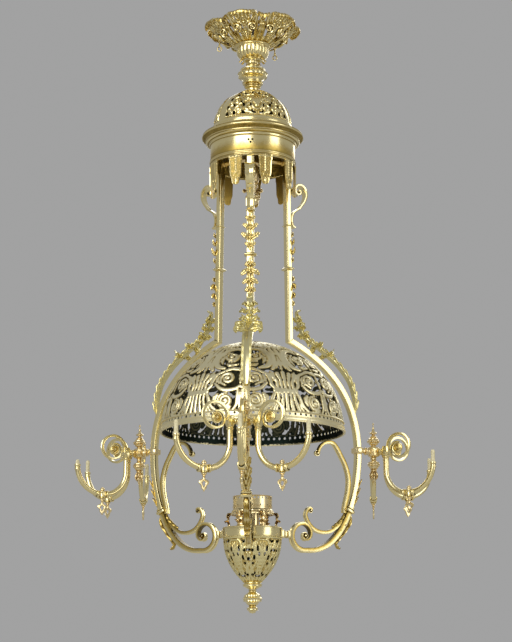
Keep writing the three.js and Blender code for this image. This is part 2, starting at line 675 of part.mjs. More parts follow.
// Bracket urn: clamp round the arm, side neck and turned urn with its finials.
function bracketUrn() {
  const middle = BRACKET_HEIGHT;
  const up = [[0, 78], [3, 68], [10.5, 50], [4, 44], [10.5, 38], [18, 31]];
  const body = [[18, 24], [8, 18], [6.5, 15.5], [15.5, 10], [15.5, -12], [6, -24]];
  const down = [[17.5, -32], [18, -41], [8, -48], [5, -56], [9, -66], [0, -84]];
  const profile = [...up, ...body, ...down].map(([radius, rise]) => [radius, middle + rise]);
  const urn = turned(profile, 8).translate(BRACKET_RADIUS, 0, 0);
  const wall = 5;
  const half = [ARM_DEPTH / 2 + wall, ARM_WIDTH / 2 + wall, 8];
  const outerFace = ARM_WIDEST[0] + half[0];
  const clampLow = [ARM_WIDEST[0] - half[0], -half[1], middle - half[2]];
  const clamp = block(clampLow, [outerFace, half[1], middle + half[2]]);
  const fit = rectangleShape(ARM_WIDTH + 0.9, ARM_DEPTH + 2.2);
  const window = bar([[ARM_WIDEST[0], middle + 20], [ARM_WIDEST[0], middle - 20]], fit);
  const neck = crossRod(5.5, outerFace - 1, BRACKET_RADIUS, middle, 6);
  const flange = crossRod(9, 332, 338, middle, 6);
  return joined(clamp, neck, flange, urn).subtract(solidOf(window));
}

// Centre line of a branch tube in its own plane, from the collar down and up to the cup.
function branchLine() {
  const bottom = FIRST_BEND_HEIGHT - FIRST_BEND;
  const firstCentre = [DROP_DISTANCE + FIRST_BEND, FIRST_BEND_HEIGHT];
  const secondCentre = [firstCentre[0], bottom + SECOND_BEND];
  const first = spiral(firstCentre, 180, 270, FIRST_BEND, FIRST_BEND, 3);
  const second = spiral(secondCentre, -90, -4, SECOND_BEND, SECOND_BEND, 3);
  return [[DROP_DISTANCE, BRACKET_HEIGHT - 3], ...first, ...second.slice(1)];
}

// Branch: bent gas tube with its collar, side neck, volute, cock barrel and burner cup.
function branch() {
  const middle = BRACKET_HEIGHT;
  const line = branchLine();
  const end = line[line.length - 1];
  const tube = bar([...line, [end[0] + 0.4, CUP_HEIGHT]], polygonShape(TUBE_RADIUS, 6));
  const collar = block([DROP_DISTANCE - 9, -9, middle - 9], [DROP_DISTANCE + 9, 9, middle + 9]);
  const neck = crossRod(5, NECK_START, DROP_DISTANCE, middle, 6);
  const curl = spiral([76, middle + 12], 200, -190, VOLUTE_RADIUS, 13, 7);
  const volute = taperedBand([[44, middle - 1], ...curl], 6.5, 7, 5);
  const rosette = new THREE.CylinderGeometry(12.5, 12.5, 9, 8).translate(74, 0, middle + 10);
  const cock = FIRST_BEND_HEIGHT - FIRST_BEND;
  const barrel = rod(9.6, cock + 11, cock - 12, 6).translate(COCK_DISTANCE, 0, 0);
  const cupTop = CUP_HEIGHT + CUP_RISE;
  const floor = cupTop - CUP_SEAT_DEPTH;
  const recess = [[0, floor], [CUP_SEAT_RADIUS, floor], [CUP_SEAT_RADIUS, cupTop]];
  const cup = turned([...recess, [9.6, cupTop], [9.6, cupTop - 3], [5, cupTop - 10], [0, cupTop - 10]], 6);
  const seat = [end[0], 0, 0];
  const hollows = [
    rod(PLUG_RADIUS + 1, cock + 12, cock - 13, 6).translate(COCK_DISTANCE, 0, 0),
    rod(3, cupTop + 1, cupTop - 20, 4).translate(...seat),
  ];
  const whole = joined(tube, collar, neck, volute, rosette, barrel, cup.translate(...seat));
  return hollows.reduce((solid, hollow) => solid.subtract(solidOf(hollow)), whole);
}

// Cock key: plug through the barrel, dome nut above, stem and heart-shaped handle below.
// It is made on its own axis, and turns about it.
function cockKey() {
  const cock = FIRST_BEND_HEIGHT - FIRST_BEND;
  const above = cock + 11 + GAP;
  const below = cock - 12 - GAP;
  const nut = [[0, cock + 19], [5, cock + 16.5], [6.5, above], [PLUG_RADIUS, above]];
  const stem = [[PLUG_RADIUS, below], [7, below], [3.2, cock - 20], [3.2, cock - 27], [0, cock - 27]];
  const vectors = (list) => list.map(([x, y]) => new THREE.Vector2(x, y));
  const heart = [[4, -24], [11, -32], [9, -41], [2.5, -52], [-2.5, -52], [-9, -41], [-11, -32], [-4, -24]];
  const outline = new THREE.Shape(vectors(heart));
  outline.holes.push(new THREE.Path(vectors([[0, -29.5], [-6.5, -35], [0, -45], [6.5, -35]])));
  const handle = new THREE.ExtrudeGeometry(outline, { depth: 3.6, bevelEnabled: false });
  const upright = handle.translate(0, 0, -1.8).rotateX(Math.PI / 2).translate(0, 0, cock);
  return joined(turned([...nut, ...stem], 6), upright);
}

// Burner pillar with its gas bore and slotted tip.
function burner(height) {
  const base = CUP_HEIGHT + CUP_RISE - CUP_SEAT_DEPTH + GAP;
  const tip = base + CUP_SEAT_DEPTH + height;
  const shell = [[2, base], [5.8, base], [4.8, tip], [2, tip]];
  return solidOf(turned(shell, 6));
}

// Bottom ring: plain band with a stepped square boss for each arm.
function bottomRing() {
  const outside = [[RING_RADIUS, RING_TOP], [RING_RADIUS, RING_BOTTOM]];
  const band = turned([[RING_INNER, RING_TOP], ...outside, [RING_INNER, RING_BOTTOM]], 30);
  const middle = (RING_TOP + RING_BOTTOM) / 2;
  const bosses = Array.from({ length: ARMS }, (_, i) => {
    const wide = block([RING_INNER + 1, -11, middle - 10.5], [89, 11, middle + 10.5]);
    const waist = block([85, -7, middle - 7], [97, 7, middle + 7]);
    const head = block([94, -9.5, middle - 9.5], [BOSS_REACH, 9.5, middle + 9.5]);
    return [wide, waist, head].map((step) => step.rotateZ(sideTurn(i)));
  });
  return joined(band, ...bosses.flat());
}

// Gallery: pierced cylinder with a chimney ledge and six bent feet on the ring.
function burnerGallery() {
  const top = GALLERY_TOP;
  const radius = GALLERY_RADIUS;
  const ledge = GALLERY_BOTTOM - 1;
  const wall = [[radius - 1.8, top], [radius, top], [radius, top - 35], [radius + 3, top - 38]];
  const flare = [[radius + 6, GALLERY_BOTTOM], [radius + 6, GALLERY_BOTTOM - 4], [30, GALLERY_BOTTOM - 4]];
  const shell = solidOf(turned([...wall, ...flare, [30, ledge], [radius - 1.8, ledge]], 18));
  const holes = Array.from({ length: 9 }, (_, i) => {
    return crossRod(3, radius - 5, radius + 3, top - 7, 4).rotateZ(radians(40 * i + 10));
  });
  const footLine = [[radius + 1, -1315.5], [66, -1319.5], [72.3, -1332], [73.8, RING_TOP + 2 * GAP]];
  const feet = Array.from({ length: GALLERY_FEET }, (_, i) => {
    const foot = strip(footLine, [5, 11, 9, 4], 3.4, 1);
    return solidOf(foot.rotateZ(radians((360 / GALLERY_FEET) * i)));
  });
  return feet.reduce((solid, foot) => solid.add(foot), shell.subtract(solidOf(gathered(holes))));
}

// Round burner: a gas channel on a hub fed through three pipes from the ring, with an air passage.
function ringBurner() {
  const feedHeight = (RING_TOP + RING_BOTTOM) / 2;
  const top = -1285;
  const channel = [[13, top], [16.5, top], [16.5, top - 11], [18.5, top - 11], [18.5, top], [22, top]];
  const outside = [[22, -1300], [17, -1306], [17, -1338], [20, -1344], [20, -1372]];
  const inside = [[6, -1372], [6, -1345], [13, -1338]];
  const feeds = Array.from({ length: ARMS }, (_, i) => {
    return crossRod(4.5, 10, RING_INNER - 1, feedHeight, 6).rotateZ(sideTurn(i));
  });
  return joined(turned([...channel, ...outside, ...inside], 12), ...feeds);
}

// Basket: pierced egg-shaped cup under the ring.
function basket() {
  const side = [[74.5, RING_BOTTOM - GAP], [72, -1400], [61.5, -1433], [43, -1463]];
  const skin = [...side, [22.5, BASKET_BOTTOM], [7, BASKET_BOTTOM]];
  const last = skin.length - 1;
  const columns = 14;
  const wall = 2.8;
  const floorWall = 2.2;
  const surfaceAt = (azimuth, level, inset) => {
    const row = Math.min(Math.floor(level), last - 1);
    const share = level - row;
    const [radius, height] = skin[row].map((value, k) => value + share * (skin[row + 1][k] - value));
    const onFloor = level > last - 1.01;
    return [radius - (level === last ? 0 : wall * inset), height + (onFloor ? floorWall * inset : 0)];
  };
  const openAt = (column, row) => {
    const lean = column % 2 === 1 ? 0.15 : -0.15;
    if (row === 1) return kite([0.5, 0.5], 0.32, 0.38, lean);
    if (row === 2) return kite([0.5 - lean / 1.5, 0.5], 0.3, 0.38, -lean);
    return null;
  };
  return solidOf(cellShell(columns, [0, 1, 2, 3, 4, 5], surfaceAt, openAt));
}

// Turned finial with the bolt that holds it up in the basket.
function basketFinial() {
  const top = BASKET_BOTTOM - GAP;
  const bolt = [[0, -1470], [9.5, -1470], [9.5, -1477], [5, -1479], [5, top], [21, top], [25.5, -1490]];
  const knob = [[24, -1494], [9.5, -1502], [9.5, -1509], [25, -1525], [24.5, -1532], [7.5, -1543]];
  const drop = [[15, -1549], [14, -1555], [0, FINIAL_TIP]];
  return solidOf(turned([...bolt, ...knob, ...drop], 12));
}

// Pierced dome: a hemisphere of six mirrored units of strap and fan openings, with a plain rim
// band and a rolled lip.
function largeDome() {
  const columns = DOME_REPEATS * 4;
  const eye = (Math.asin(DOME_EYE / DOME_RADIUS) * 180) / Math.PI;
  const rim = 90;
  const lip = 95;
  const surfaceAt = (azimuth, level, inset) => {
    const radius = DOME_RADIUS - DOME_WALL * inset;
    if (level > rim) return [radius + 3 * (1 - inset), DOME_RIM - 2.2];
    return [radius * Math.sin(radians(level)), DOME_RIM + radius * Math.cos(radians(level))];
  };
  // Openings of the two columns of a half unit, from the arm's line to the fan's line, by row.
  const pattern = [
    [null, null],
    [kite([0.5, 0.5], 0.36, 0.4, -0.14), kite([0.56, 0.5], 0.32, 0.38, 0.16)],
    [kite([0.56, 0.5], 0.36, 0.4, 0.2), kite([0.48, 0.5], 0.26, 0.4, -0.14)],
    [kite([0.42, 0.5], 0.34, 0.4, -0.16), kite([0.56, 0.5], 0.28, 0.42, 0.14)],
    [null, null],
    [null, null],
  ];
  const openAt = (column, row) => {
    const place = column % 4;
    const open = pattern[row][place < 2 ? place : 3 - place];
    return open && place >= 2 ? mirroredOpening(open) : open;
  };
  return solidOf(cellShell(columns, [eye, 24, 44, 64, 82, rim, lip], surfaceAt, openAt));
}

// Assembly: the central stack first, then each arm in its own turned group.
const group = new THREE.Group();
group.add(piece("pipe_coupling", pipeCoupling(), IRON));
group.add(piece("supply_pipe", supplyPipe(), IRON));
group.add(piece("canopy_crown", canopyCrown(), BRASS));
group.add(piece("canopy_bell", canopyBell(), BRASS));
group.add(piece("stem_knop", stemKnop(), BRASS));
group.add(piece("upper_dome", upperDome(), BRASS));
group.add(piece("drum_band", drumBand(), BRASS));
group.add(piece("gas_distributor", gasDistributor(), ROSE_BRASS));
group.add(piece("main_cock_key", mainCockKey(), ROSE_BRASS));
group.add(piece("pendant_ring", pendantRing(), BRASS));
group.add(piece("pierced_dome", largeDome(), OLD_GOLD));
group.add(piece("bottom_ring", bottomRing(), BRASS));
group.add(piece("burner_gallery", burnerGallery(), ROSE_BRASS));
group.add(piece("ring_burner", ringBurner(), ROSE_BRASS));
group.add(piece("basket", basket(), OLD_GOLD));
group.add(piece("basket_finial", basketFinial(), BRASS));

const armSolid = arm();
const upperScrollSolid = upperScroll();
const acanthusSolid = acanthusBranch();
const lowerScrollSolid = lowerScroll();
const urnSolid = bracketUrn();
const branchSolid = branch();
const keySolid = cockKey();

for (let i = 1; i <= ARMS; i += 1) {
  const side = new THREE.Group();
  side.rotation.z = sideTurn(i - 1);
  side.add(piece(`arm_${i}`, armSolid, BRASS));
  side.add(piece(`upper_scroll_${i}`, upperScrollSolid, BRASS));
  side.add(piece(`acanthus_branch_${i}`, acanthusSolid, GREEN_BRASS));
  side.add(piece(`lower_scroll_${i}`, lowerScrollSolid, BRASS));
  side.add(piece(`bracket_urn_${i}`, urnSolid, ROSE_BRASS));
  for (let j = 1; j <= BRANCHES_PER_ARM; j += 1) {
    const cluster = new THREE.Group();
    cluster.position.x = BRACKET_RADIUS;
    cluster.rotation.z = radians(BRANCH_SPREAD * (j - 2));
    cluster.add(piece(`branch_${i}_${j}`, branchSolid, BRASS));
    const key = piece(`cock_key_${i}_${j}`, keySolid, ROSE_BRASS);
    key.position.x = COCK_DISTANCE;
    // The cock nearest the viewer on the third arm stands shut, across its tube.
    key.rotation.z = i === 3 && j === 3 ? Math.PI / 2 : 0;
    cluster.add(key);
    const short = i === 3 && j === 3;
    const pillar = piece(`burner_${i}_${j}`, burner(short ? SHORT_BURNER_HEIGHT : BURNER_HEIGHT), CERAMIC);
    const line = branchLine();
    pillar.position.x = line[line.length - 1][0];
    cluster.add(pillar);
    side.add(cluster);
  }
  group.add(side);
}

export default group;
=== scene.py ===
"""Brass gasolier with a pierced dome, three arms, nine gas branches and a central burner."""

import math

import bmesh
import bpy
import numpy as np
from bpy.props import FloatProperty, FloatVectorProperty, PointerProperty, StringProperty
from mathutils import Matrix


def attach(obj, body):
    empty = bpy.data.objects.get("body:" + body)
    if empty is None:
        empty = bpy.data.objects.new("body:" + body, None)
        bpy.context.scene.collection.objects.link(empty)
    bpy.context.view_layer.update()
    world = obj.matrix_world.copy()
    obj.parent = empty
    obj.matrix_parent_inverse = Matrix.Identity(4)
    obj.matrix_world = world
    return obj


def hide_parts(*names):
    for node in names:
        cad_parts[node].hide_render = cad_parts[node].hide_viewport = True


bl_info = {
    "name": "Brass gasolier", "version": (1, 0, 0), "blender": (4, 5, 0),
    "location": "3D View > Sidebar > Gasolier",
    "description": "Builds the surfaces of a brass gasolier round its measured frame",
    "category": "Add Mesh"
}

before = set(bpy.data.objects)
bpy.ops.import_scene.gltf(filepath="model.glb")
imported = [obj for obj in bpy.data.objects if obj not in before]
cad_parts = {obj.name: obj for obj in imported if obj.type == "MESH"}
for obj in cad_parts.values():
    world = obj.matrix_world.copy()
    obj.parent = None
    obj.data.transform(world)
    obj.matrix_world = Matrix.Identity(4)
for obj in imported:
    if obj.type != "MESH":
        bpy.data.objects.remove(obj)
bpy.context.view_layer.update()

MM = 0.001
TINY = 1e-9
# Points closer than WELD metres join, and edges shorter than SLIVER metres go
WELD = 2e-6
SLIVER = 1e-7
SHARP_EDGE = math.radians(38)
ARMS = 3
BRANCHES = 3
ARM_TURN = 360 / ARMS
BRANCH_SPREAD = 60


def linear(code):
    """The linear colour, with alpha 1, of an sRGB hex code such as c9a94f."""
    shares = [int(code[k : k + 2], 16) / 255 for k in (0, 2, 4)]
    return tuple(
        c / 12.92 if c <= 0.04045 else ((c + 0.055) / 1.055) ** 2.4 for c in shares
    ) + (1.0,)


# Arrays of points


def unit(vectors):
    """Each vector divided by its length."""
    length = np.linalg.norm(vectors, axis=-1, keepdims=True)
    return vectors / np.maximum(length, TINY)


def flow(points, per_span):
    """Smooth curve through points of any dimension: on each span, the cubic whose slope at either
    end is half the step between that point's two neighbours."""
    p = np.asarray(points, float)
    padded = np.vstack([2 * p[0] - p[1], p, 2 * p[-1] - p[-2]])
    t = np.linspace(0, 1, per_span, endpoint=False)[None, :, None]
    a, b, c, d = (padded[k : len(p) - 1 + k][:, None, :] for k in range(4))
    curve = 0.5 * (
        2 * b + (c - a) * t + (2 * a - 5 * b + 4 * c - d) * t**2 + (3 * b - a - 3 * c + d) * t**3
    )
    return np.vstack([curve.reshape(-1, p.shape[1]), p[-1:]])


def cubic(start, pull_start, pull_end, end, count):
    """Points of the cubic curve with two pulls: (1-t)^3 a + 3(1-t)^2 t b + 3(1-t) t^2 c + t^3 d."""
    t = np.linspace(0, 1, count)[:, None]
    a, b, c, d = (np.asarray(p, float) for p in (start, pull_start, pull_end, end))
    return (1 - t) ** 3 * a + 3 * (1 - t) ** 2 * t * b + 3 * (1 - t) * t**2 * c + t**3 * d


def coil(centre, angles, radii, count):
    """Points at centre + radius (cos, sin) of an angle in degrees, both changing evenly."""
    angle = np.radians(np.linspace(*angles, count))
    radius = np.linspace(*radii, count)
    return np.stack([centre[0] + radius * np.cos(angle), centre[1] + radius * np.sin(angle)], 1)


def moulding(stations, steps):
    """Profile from rows (radius, height) or (radius, height, bulge): the way to the next row is
    straight without a bulge, and otherwise an arc whose rise is bulge times half its chord, to the
    left."""
    rows = []
    for (r0, z0, *bulge), (r1, z1, *_) in zip(stations, stations[1:]):
        if not bulge:
            rows.append(np.array([[r0, z0]]))
            continue
        chord = np.array([r1 - r0, z1 - z0])
        half = 2 * math.atan(bulge[0])
        middle = np.array([r0 + r1, z0 + z1]) / 2
        across = np.array([-chord[1], chord[0]])
        centre = middle - across / (2 * math.tan(half)) if abs(math.tan(half)) > TINY else middle
        reach = math.hypot(r0 - centre[0], z0 - centre[1])
        first = math.atan2(z0 - centre[1], r0 - centre[0])
        turn = np.linspace(0, -2 * half, steps, endpoint=False) + first
        rows.append(np.stack([
            centre[0] + reach * np.cos(turn), centre[1] + reach * np.sin(turn)
        ], 1))
    rows.append(np.array([stations[-1][:2]], float))
    return np.vstack(rows)


def rounded(width, depth, corner, steps=3):
    """Closed outline of a rectangle with round corners, anticlockwise."""
    quarter = np.radians(np.linspace(0, 90, steps + 1))
    arc = np.stack([np.cos(quarter), np.sin(quarter)], 1) * corner
    centres = [(1, 1), (-1, 1), (-1, -1), (1, -1)]
    rows = []
    for k, (sx, sy) in enumerate(centres):
        turn = math.radians(90 * k)
        spin = np.array([[math.cos(turn), math.sin(turn)], [-math.sin(turn), math.cos(turn)]])
        rows.append(arc @ spin + (sx * (width / 2 - corner), sy * (depth / 2 - corner)))
    return np.vstack(rows)


# Matrices that turn a form from its Z axis towards the front, along X and against it
FACING_FRONT = ((1, 0, 0), (0, 0, -1), (0, 1, 0))
ALONG_X = ((0, 0, 1), (0, 1, 0), (-1, 0, 0))
AGAINST_X = ((0, 0, -1), (0, 1, 0), (1, 0, 0))

# Sections as (across, out) with half widths and heights of 1
ROUND = coil((0, 0), (0, 337.5), (1, 1), 16)
STRAP = np.array([
    [-1, -0.6], [-1, 0.35], [-0.86, 0.9], [-0.62, 0.85], [-0.4, 0.4], [0, 0.25], [0.4, 0.4],
    [0.62, 0.85], [0.86, 0.9], [1, 0.35], [1, -0.6]
])
REED = np.array([
    [-1, -0.6], [-0.95, 0.2], [-0.6, 0.75], [0, 1], [0.6, 0.75], [0.95, 0.2], [1, -0.6]
])


def tapered(line, places, values):
    """Values along a line that change evenly between some shares of its way."""
    return np.interp(np.linspace(0, 1, len(line)), places, values)


def swollen(line, wide, start, span, power=1.0):
    """Half widths along a leaf: wide times a power of the sine of a half turn's share, which runs
    from a start over a span."""
    return wide * np.sin(math.pi * (start + span * np.linspace(0, 1, len(line)))) ** power


def about_axis(u, radius, height):
    """Points at azimuth u in degrees, a radius and a height."""
    azimuth = np.radians(u)
    return np.stack([radius * np.cos(azimuth), radius * np.sin(azimuth), height + 0 * azimuth], -1)


def on_globe(u, v, reach, height):
    """Points at azimuth u and polar angle v in degrees, at a reach from a middle on the axis."""
    polar = np.radians(v)
    return about_axis(u, reach * np.sin(polar), height + reach * np.cos(polar))


def on_profile(line, face, v):
    """Radius, height and the two numbers of the outward way at share v of a profile; face says on
    which side of its way the outside lies."""
    steps = np.gradient(line, axis=0)
    outward = unit(face * np.stack([steps[:, 1], -steps[:, 0]], 1))
    share = np.clip(v, 0, 1) * (len(line) - 1)
    return [np.interp(share, np.arange(len(line)), values) for values in (*line.T, *outward.T)]


class Form:
    """Points, four-cornered faces and, for each point, how proud of the ground it stands and how
    dark it is with soot and painted shade, both from 0 to 1."""

    def __init__(self, points, faces, relief, soot_and_shade=0.0):
        self.points = np.asarray(points, float).reshape(-1, 3)
        self.faces = np.asarray(faces, int).reshape(-1, 4)
        self.relief = np.broadcast_to(relief, len(self.points)).astype(float)
        self.soot_and_shade = np.broadcast_to(soot_and_shade, len(self.points)).astype(float)

    def moved(self, shift):
        """The same form moved by a vector."""
        return Form(self.points + np.asarray(shift, float), self.faces, self.relief, self.soot_and_shade)

    def spun(self, degrees):
        """The same form turned about the Z axis."""
        return Form(self.points @ spin_z(degrees).T, self.faces, self.relief, self.soot_and_shade)

    def mirrored(self):
        """The same form on the other side of the XZ plane."""
        return Form(self.points * (1, -1, 1), self.faces[:, ::-1], self.relief, self.soot_and_shade)

    def through(self, matrix):
        """The same form after a 3 by 3 matrix."""
        return Form(self.points @ np.asarray(matrix, float).T, self.faces, self.relief, self.soot_and_shade)


def spin_z(degrees):
    """The matrix that turns about Z."""
    a = math.radians(degrees)
    return np.array([[math.cos(a), -math.sin(a), 0], [math.sin(a), math.cos(a), 0], [0, 0, 1]])


def around(forms, count, start=0.0):
    """Copies of some forms, evenly turned about the Z axis."""
    return [form.spun(start + 360 / count * k) for k in range(count) for form in forms]


def both_sides(forms):
    """Some forms and their mirror images across the XZ plane."""
    return [*forms, *(form.mirrored() for form in forms)]


def grid_faces(rows, columns, wrap_rows, wrap_columns):
    """Faces of a grid of points, each joining a point with the next in its row and column; where a
    way wraps, its last points also join its first."""
    r = np.arange(rows if wrap_rows else rows - 1)[:, None]
    c = np.arange(columns if wrap_columns else columns - 1)[None, :]
    below, beside = (r + 1) % rows, (c + 1) % columns
    corners = [r * columns + c, r * columns + beside, below * columns + beside, below * columns + c]
    return np.stack(np.broadcast_arrays(*corners), -1).reshape(-1, 4)


def skin(rings, relief, closed=False):
    """Closed surface over rings of points. Where the row of rings isn't closed, the two end rings
    shrink to their middles."""
    count = rings.shape[1]
    relief = np.broadcast_to(relief, rings.shape[:2])
    if not closed:
        ends = [np.repeat(ring.mean(0)[None, None], count, 1) for ring in (rings[0], rings[-1])]
        rings = np.concatenate([ends[0], rings, ends[1]])
        relief = np.concatenate([relief[:1], relief, relief[-1:]])
    return Form(rings, grid_faces(len(rings), count, closed, True), relief.ravel())


def carry(path, normals, section, across, out, closed=False):
    """A section carried along a path: its point (s, h) lands at path + side * s * across +
    normal * h * out, where side is at right angles to the way and the normal."""
    path = np.asarray(path, float)
    step = np.roll(path, -1, 0) - np.roll(path, 1, 0) if closed else np.gradient(path, axis=0)
    tangent = unit(step)
    side = unit(np.cross(tangent, normals))
    normal = np.cross(side, tangent)
    across = np.broadcast_to(across, len(path))[:, None]
    out = np.broadcast_to(out, len(path))[:, None]
    s, h = section[None, :, 0] * across, section[None, :, 1] * out
    rings = path[:, None] + side[:, None] * s[..., None] + normal[:, None] * h[..., None]
    low, high = section[:, 1].min(), section[:, 1].max()
    relief = (section[:, 1] - low) / max(high - low, 1e-9)
    return skin(rings, relief[None, :], closed)


def polished(forms, relief):
    """Some forms as proud all over as a relief says, so that they look polished all over."""
    for form in forms:
        form.relief = np.full(len(form.points), float(relief))
    return forms


def upright(path):
    """A path of (radius, height) in the XZ plane as 3D points, with normals to its left."""
    path = np.asarray(path, float)
    points = np.stack([path[:, 0], np.zeros(len(path)), path[:, 1]], 1)
    way = unit(np.gradient(points, axis=0))
    return points, np.stack([-way[:, 2], np.zeros(len(path)), way[:, 0]], 1)


def ribbon(path, section, across, out):
    """A section carried along a path in the XZ plane, its width lying along Y."""
    points, normals = upright(path)
    return carry(points, normals, section, across, out)


def revolve(profile, sides, ripple=None, relief=0.7, soot_and_shade=0.0):
    """A profile of (radius, height) turned about Z. ripple(azimuth, radius, height) is added to the
    radius. A profile that doesn't start and end on the axis closes on itself."""
    profile = np.asarray(profile, float)
    closed = profile[0, 0] > 1e-6 or profile[-1, 0] > 1e-6
    azimuth = np.linspace(0, 2 * math.pi, sides, endpoint=False)[None, :]
    radius, height = profile[:, :1], profile[:, 1:2]
    reach = radius + (ripple(azimuth, radius, height) if ripple else 0 * azimuth)
    grid = np.stack([reach * np.cos(azimuth), reach * np.sin(azimuth), height + 0 * azimuth], -1)
    return Form(grid, grid_faces(len(profile), sides, closed, True), relief, soot_and_shade)


def turned(stations, steps, sides, ripple=None, relief=0.85):
    """The rows of a moulding turned about Z."""
    return revolve(moulding(stations, steps), sides, ripple, relief)


def ball(centre, radius, sides=16):
    """A round knob: a half circle turned about an axis along Y."""
    turn = np.radians(np.linspace(-90, 90, sides // 2 + 1))
    form = revolve(np.stack([radius * np.cos(turn), radius * np.sin(turn)], 1), sides)
    return form.through(FACING_FRONT).moved(centre)


def wire_ring(centre, half_width, half_height, thick, count):
    """A round wire carried round an upright ring: its middle is at the centre plus the half sizes
    times (cos, sin)."""
    turn = np.radians(np.arange(0, 360, 360 / count))
    outward = np.stack([np.cos(turn), 0 * turn, np.sin(turn)], 1)
    path = centre + outward * (half_width, 0, half_height)
    return carry(path, outward, ROUND, thick, thick, True)


def rosette(centre, radius, depth, petals=0):
    """A disc across Y with stepped rings and a button, its profile turned about the Y axis; petals
    draw its radius in by a cosine of the azimuth."""
    half = moulding([
        (0, depth), (radius * 0.22, depth, -0.5), (radius * 0.34, depth * 0.5),
        (radius * 0.42, depth * 0.95, -0.6), (radius * 0.6, depth * 0.45),
        (radius * 0.68, depth * 0.9, -0.7), (radius * 0.97, depth * 0.5), (radius, 0)
    ], 4)
    profile = np.vstack([half, half[-2::-1] * (1, -1)])
    ripple = (
        lambda azimuth, reach, _: -0.12 * reach * (0.5 - 0.5 * np.cos(petals * azimuth))
    ) if petals else None
    form = revolve(profile, 32, ripple, 0.95)
    return form.through(FACING_FRONT).moved(centre)


def leaf(spine, normals, half_widths, lobes, cup, vein, thickness, lean=0.5, depth=0.34):
    """A toothed leaf. At share u of its length and v across, the edge stands off the spine by the
    half width less the notches, drawn forward by lean * v^2, and rises by cup * v^2 of the width,
    with a middle rib and a crease to each notch."""
    spine = np.asarray(spine, float)
    count = len(spine)
    u = np.linspace(0, 1, count)[:, None]
    v = np.linspace(-1, 1, 13)[None, :]
    way = unit(np.gradient(spine, axis=0))
    side = unit(np.cross(way, normals))
    normal = np.cross(side, way)
    half = np.asarray(half_widths, float)[:, None]
    phase = math.pi * lobes * u
    notch = 1 - depth * np.abs(v) ** 1.5 * np.abs(np.cos(phase))
    wide = half * notch * v
    rib, crease = np.exp(-((v / 0.14) ** 2)), np.abs(np.cos(phase + 1.4 * v**2))
    rise = half * (cup * v**2 + vein * rib - 0.5 * vein * crease)
    forward = half * lean * v**2
    top = (
        spine[:, None] + side[:, None] * wide[..., None] + normal[:, None] * rise[..., None]
        + way[:, None] * forward[..., None]
    )
    low = top - normal[:, None] * (thickness * (1 - 0.6 * np.abs(v)))[..., None]
    rings = np.concatenate([top, low[:, ::-1]], 1)
    proud = 1 - 0.8 * crease * (1 - rib)
    relief = np.concatenate([proud, 0.35 + 0 * proud], 1)
    return skin(rings, relief)


def side_leaf(stations, per_span, face, swell, *shape):
    """A leaf along a smooth way in the XZ plane, its face to the left of the way at 1 and to its
    right at -1. swell is (wide, start, span, power) of its half widths."""
    spine, outward = upright(flow(stations, per_span))
    return leaf(spine, face * outward, swollen(spine, *swell), *shape)


def pierced(point, columns, rows, holes):
    """A thin closed wall of cells. Each has a round hole whose half sizes, in shares of half a
    cell, are holes[row, column] = (across, up). Within a cell a point at share s goes from the
    hole's edge to the cell's edge. point(u, v, inset) places column u and row v on the outer or
    inner face."""
    edge = np.linspace(-1, 1, 4, endpoint=False)
    one = np.ones(4)
    square = np.concatenate([
        np.stack([edge, -one], 1), np.stack([one, edge], 1), np.stack([-edge, one], 1),
        np.stack([-one, -edge], 1)
    ])
    circle = unit(square)
    cell_v, cell_u = np.meshgrid(np.arange(rows), np.arange(columns), indexing="ij")
    share = np.array([0, 0.45, 1])[:, None, None]
    hole = circle * holes[:, :, None, None, :]
    local = hole * (1 - share) + square * share
    u = cell_u[..., None, None] + 0.5 + 0.5 * local[..., 0]
    v = cell_v[..., None, None] + 0.5 + 0.5 * local[..., 1]
    outer, inner = point(u, v, 0.0), point(u, v, 1.0)
    stack = np.concatenate([inner[:, :, ::-1], outer], 2)
    rings = stack.shape[2]
    corners = len(circle)
    patch = grid_faces(rings, corners, False, True)
    patch = patch[~np.isin(np.arange(len(patch)), np.arange(corners * 2, corners * 3))]
    walls = np.stack([np.arange(corners), np.roll(np.arange(corners), -1)], 1)
    inner_edge, outer_edge = walls + corners * 2, walls + corners * 3
    rim = np.concatenate([inner_edge, outer_edge[:, ::-1]], 1)
    offsets = (np.arange(rows * columns) * rings * corners)[:, None, None]
    faces = [np.broadcast_to(patch, (rows * columns, *patch.shape)) + offsets]
    faces.append(np.broadcast_to(rim, (rows * columns, corners, 4)) + offsets)
    # The inner face is painted dark as soot and shade, the outer face is not
    relief, soot_and_shade = (
        np.broadcast_to(np.repeat(ends, 3)[:, None], stack.shape[:4]).ravel()
        for ends in ((0.3, 0.8), (1.0, 0.0))
    )
    wall = Form(stack, np.concatenate([f.reshape(-1, 4) for f in faces]), relief, soot_and_shade)
    along = np.arange(columns * 4)[None, :] / 4
    inset = np.array([0.0, 1.0])[:, None]
    edges = [Form(
        point(along + 0 * inset, level + 0 * (along + inset), inset + 0 * along),
        grid_faces(2, along.shape[1], False, True), 0.6
    ) for level in (0.0, float(rows))]
    return [wall, *edges]


# Cast walls with drawn relief

# A distance, in mm, that is further than any edge
FAR = 1e3
# A point moves on to an edge that is nearer than this share of a cell
NEAR_CELL = 0.47
# The share of the relief that shows as a hollow on the back
BACK_RELIEF = 0.35


def stroke(path, halves, rise=2.4, strap=0.0, lobes=0, per_span=8):
    """A drawn line of relief: a smooth way through (u, v), half widths in mm that may swell into
    lobes, the height in mm, and how far its middle is sunk between raised edges."""
    way = flow(path, per_span)
    halves = tapered(way, np.linspace(0, 1, np.size(halves)), np.ravel(halves))
    if lobes:
        halves = halves * (1 - 0.34 * np.abs(np.cos(math.pi * lobes * np.linspace(0, 1, len(way)))))
    return way, halves, rise, strap


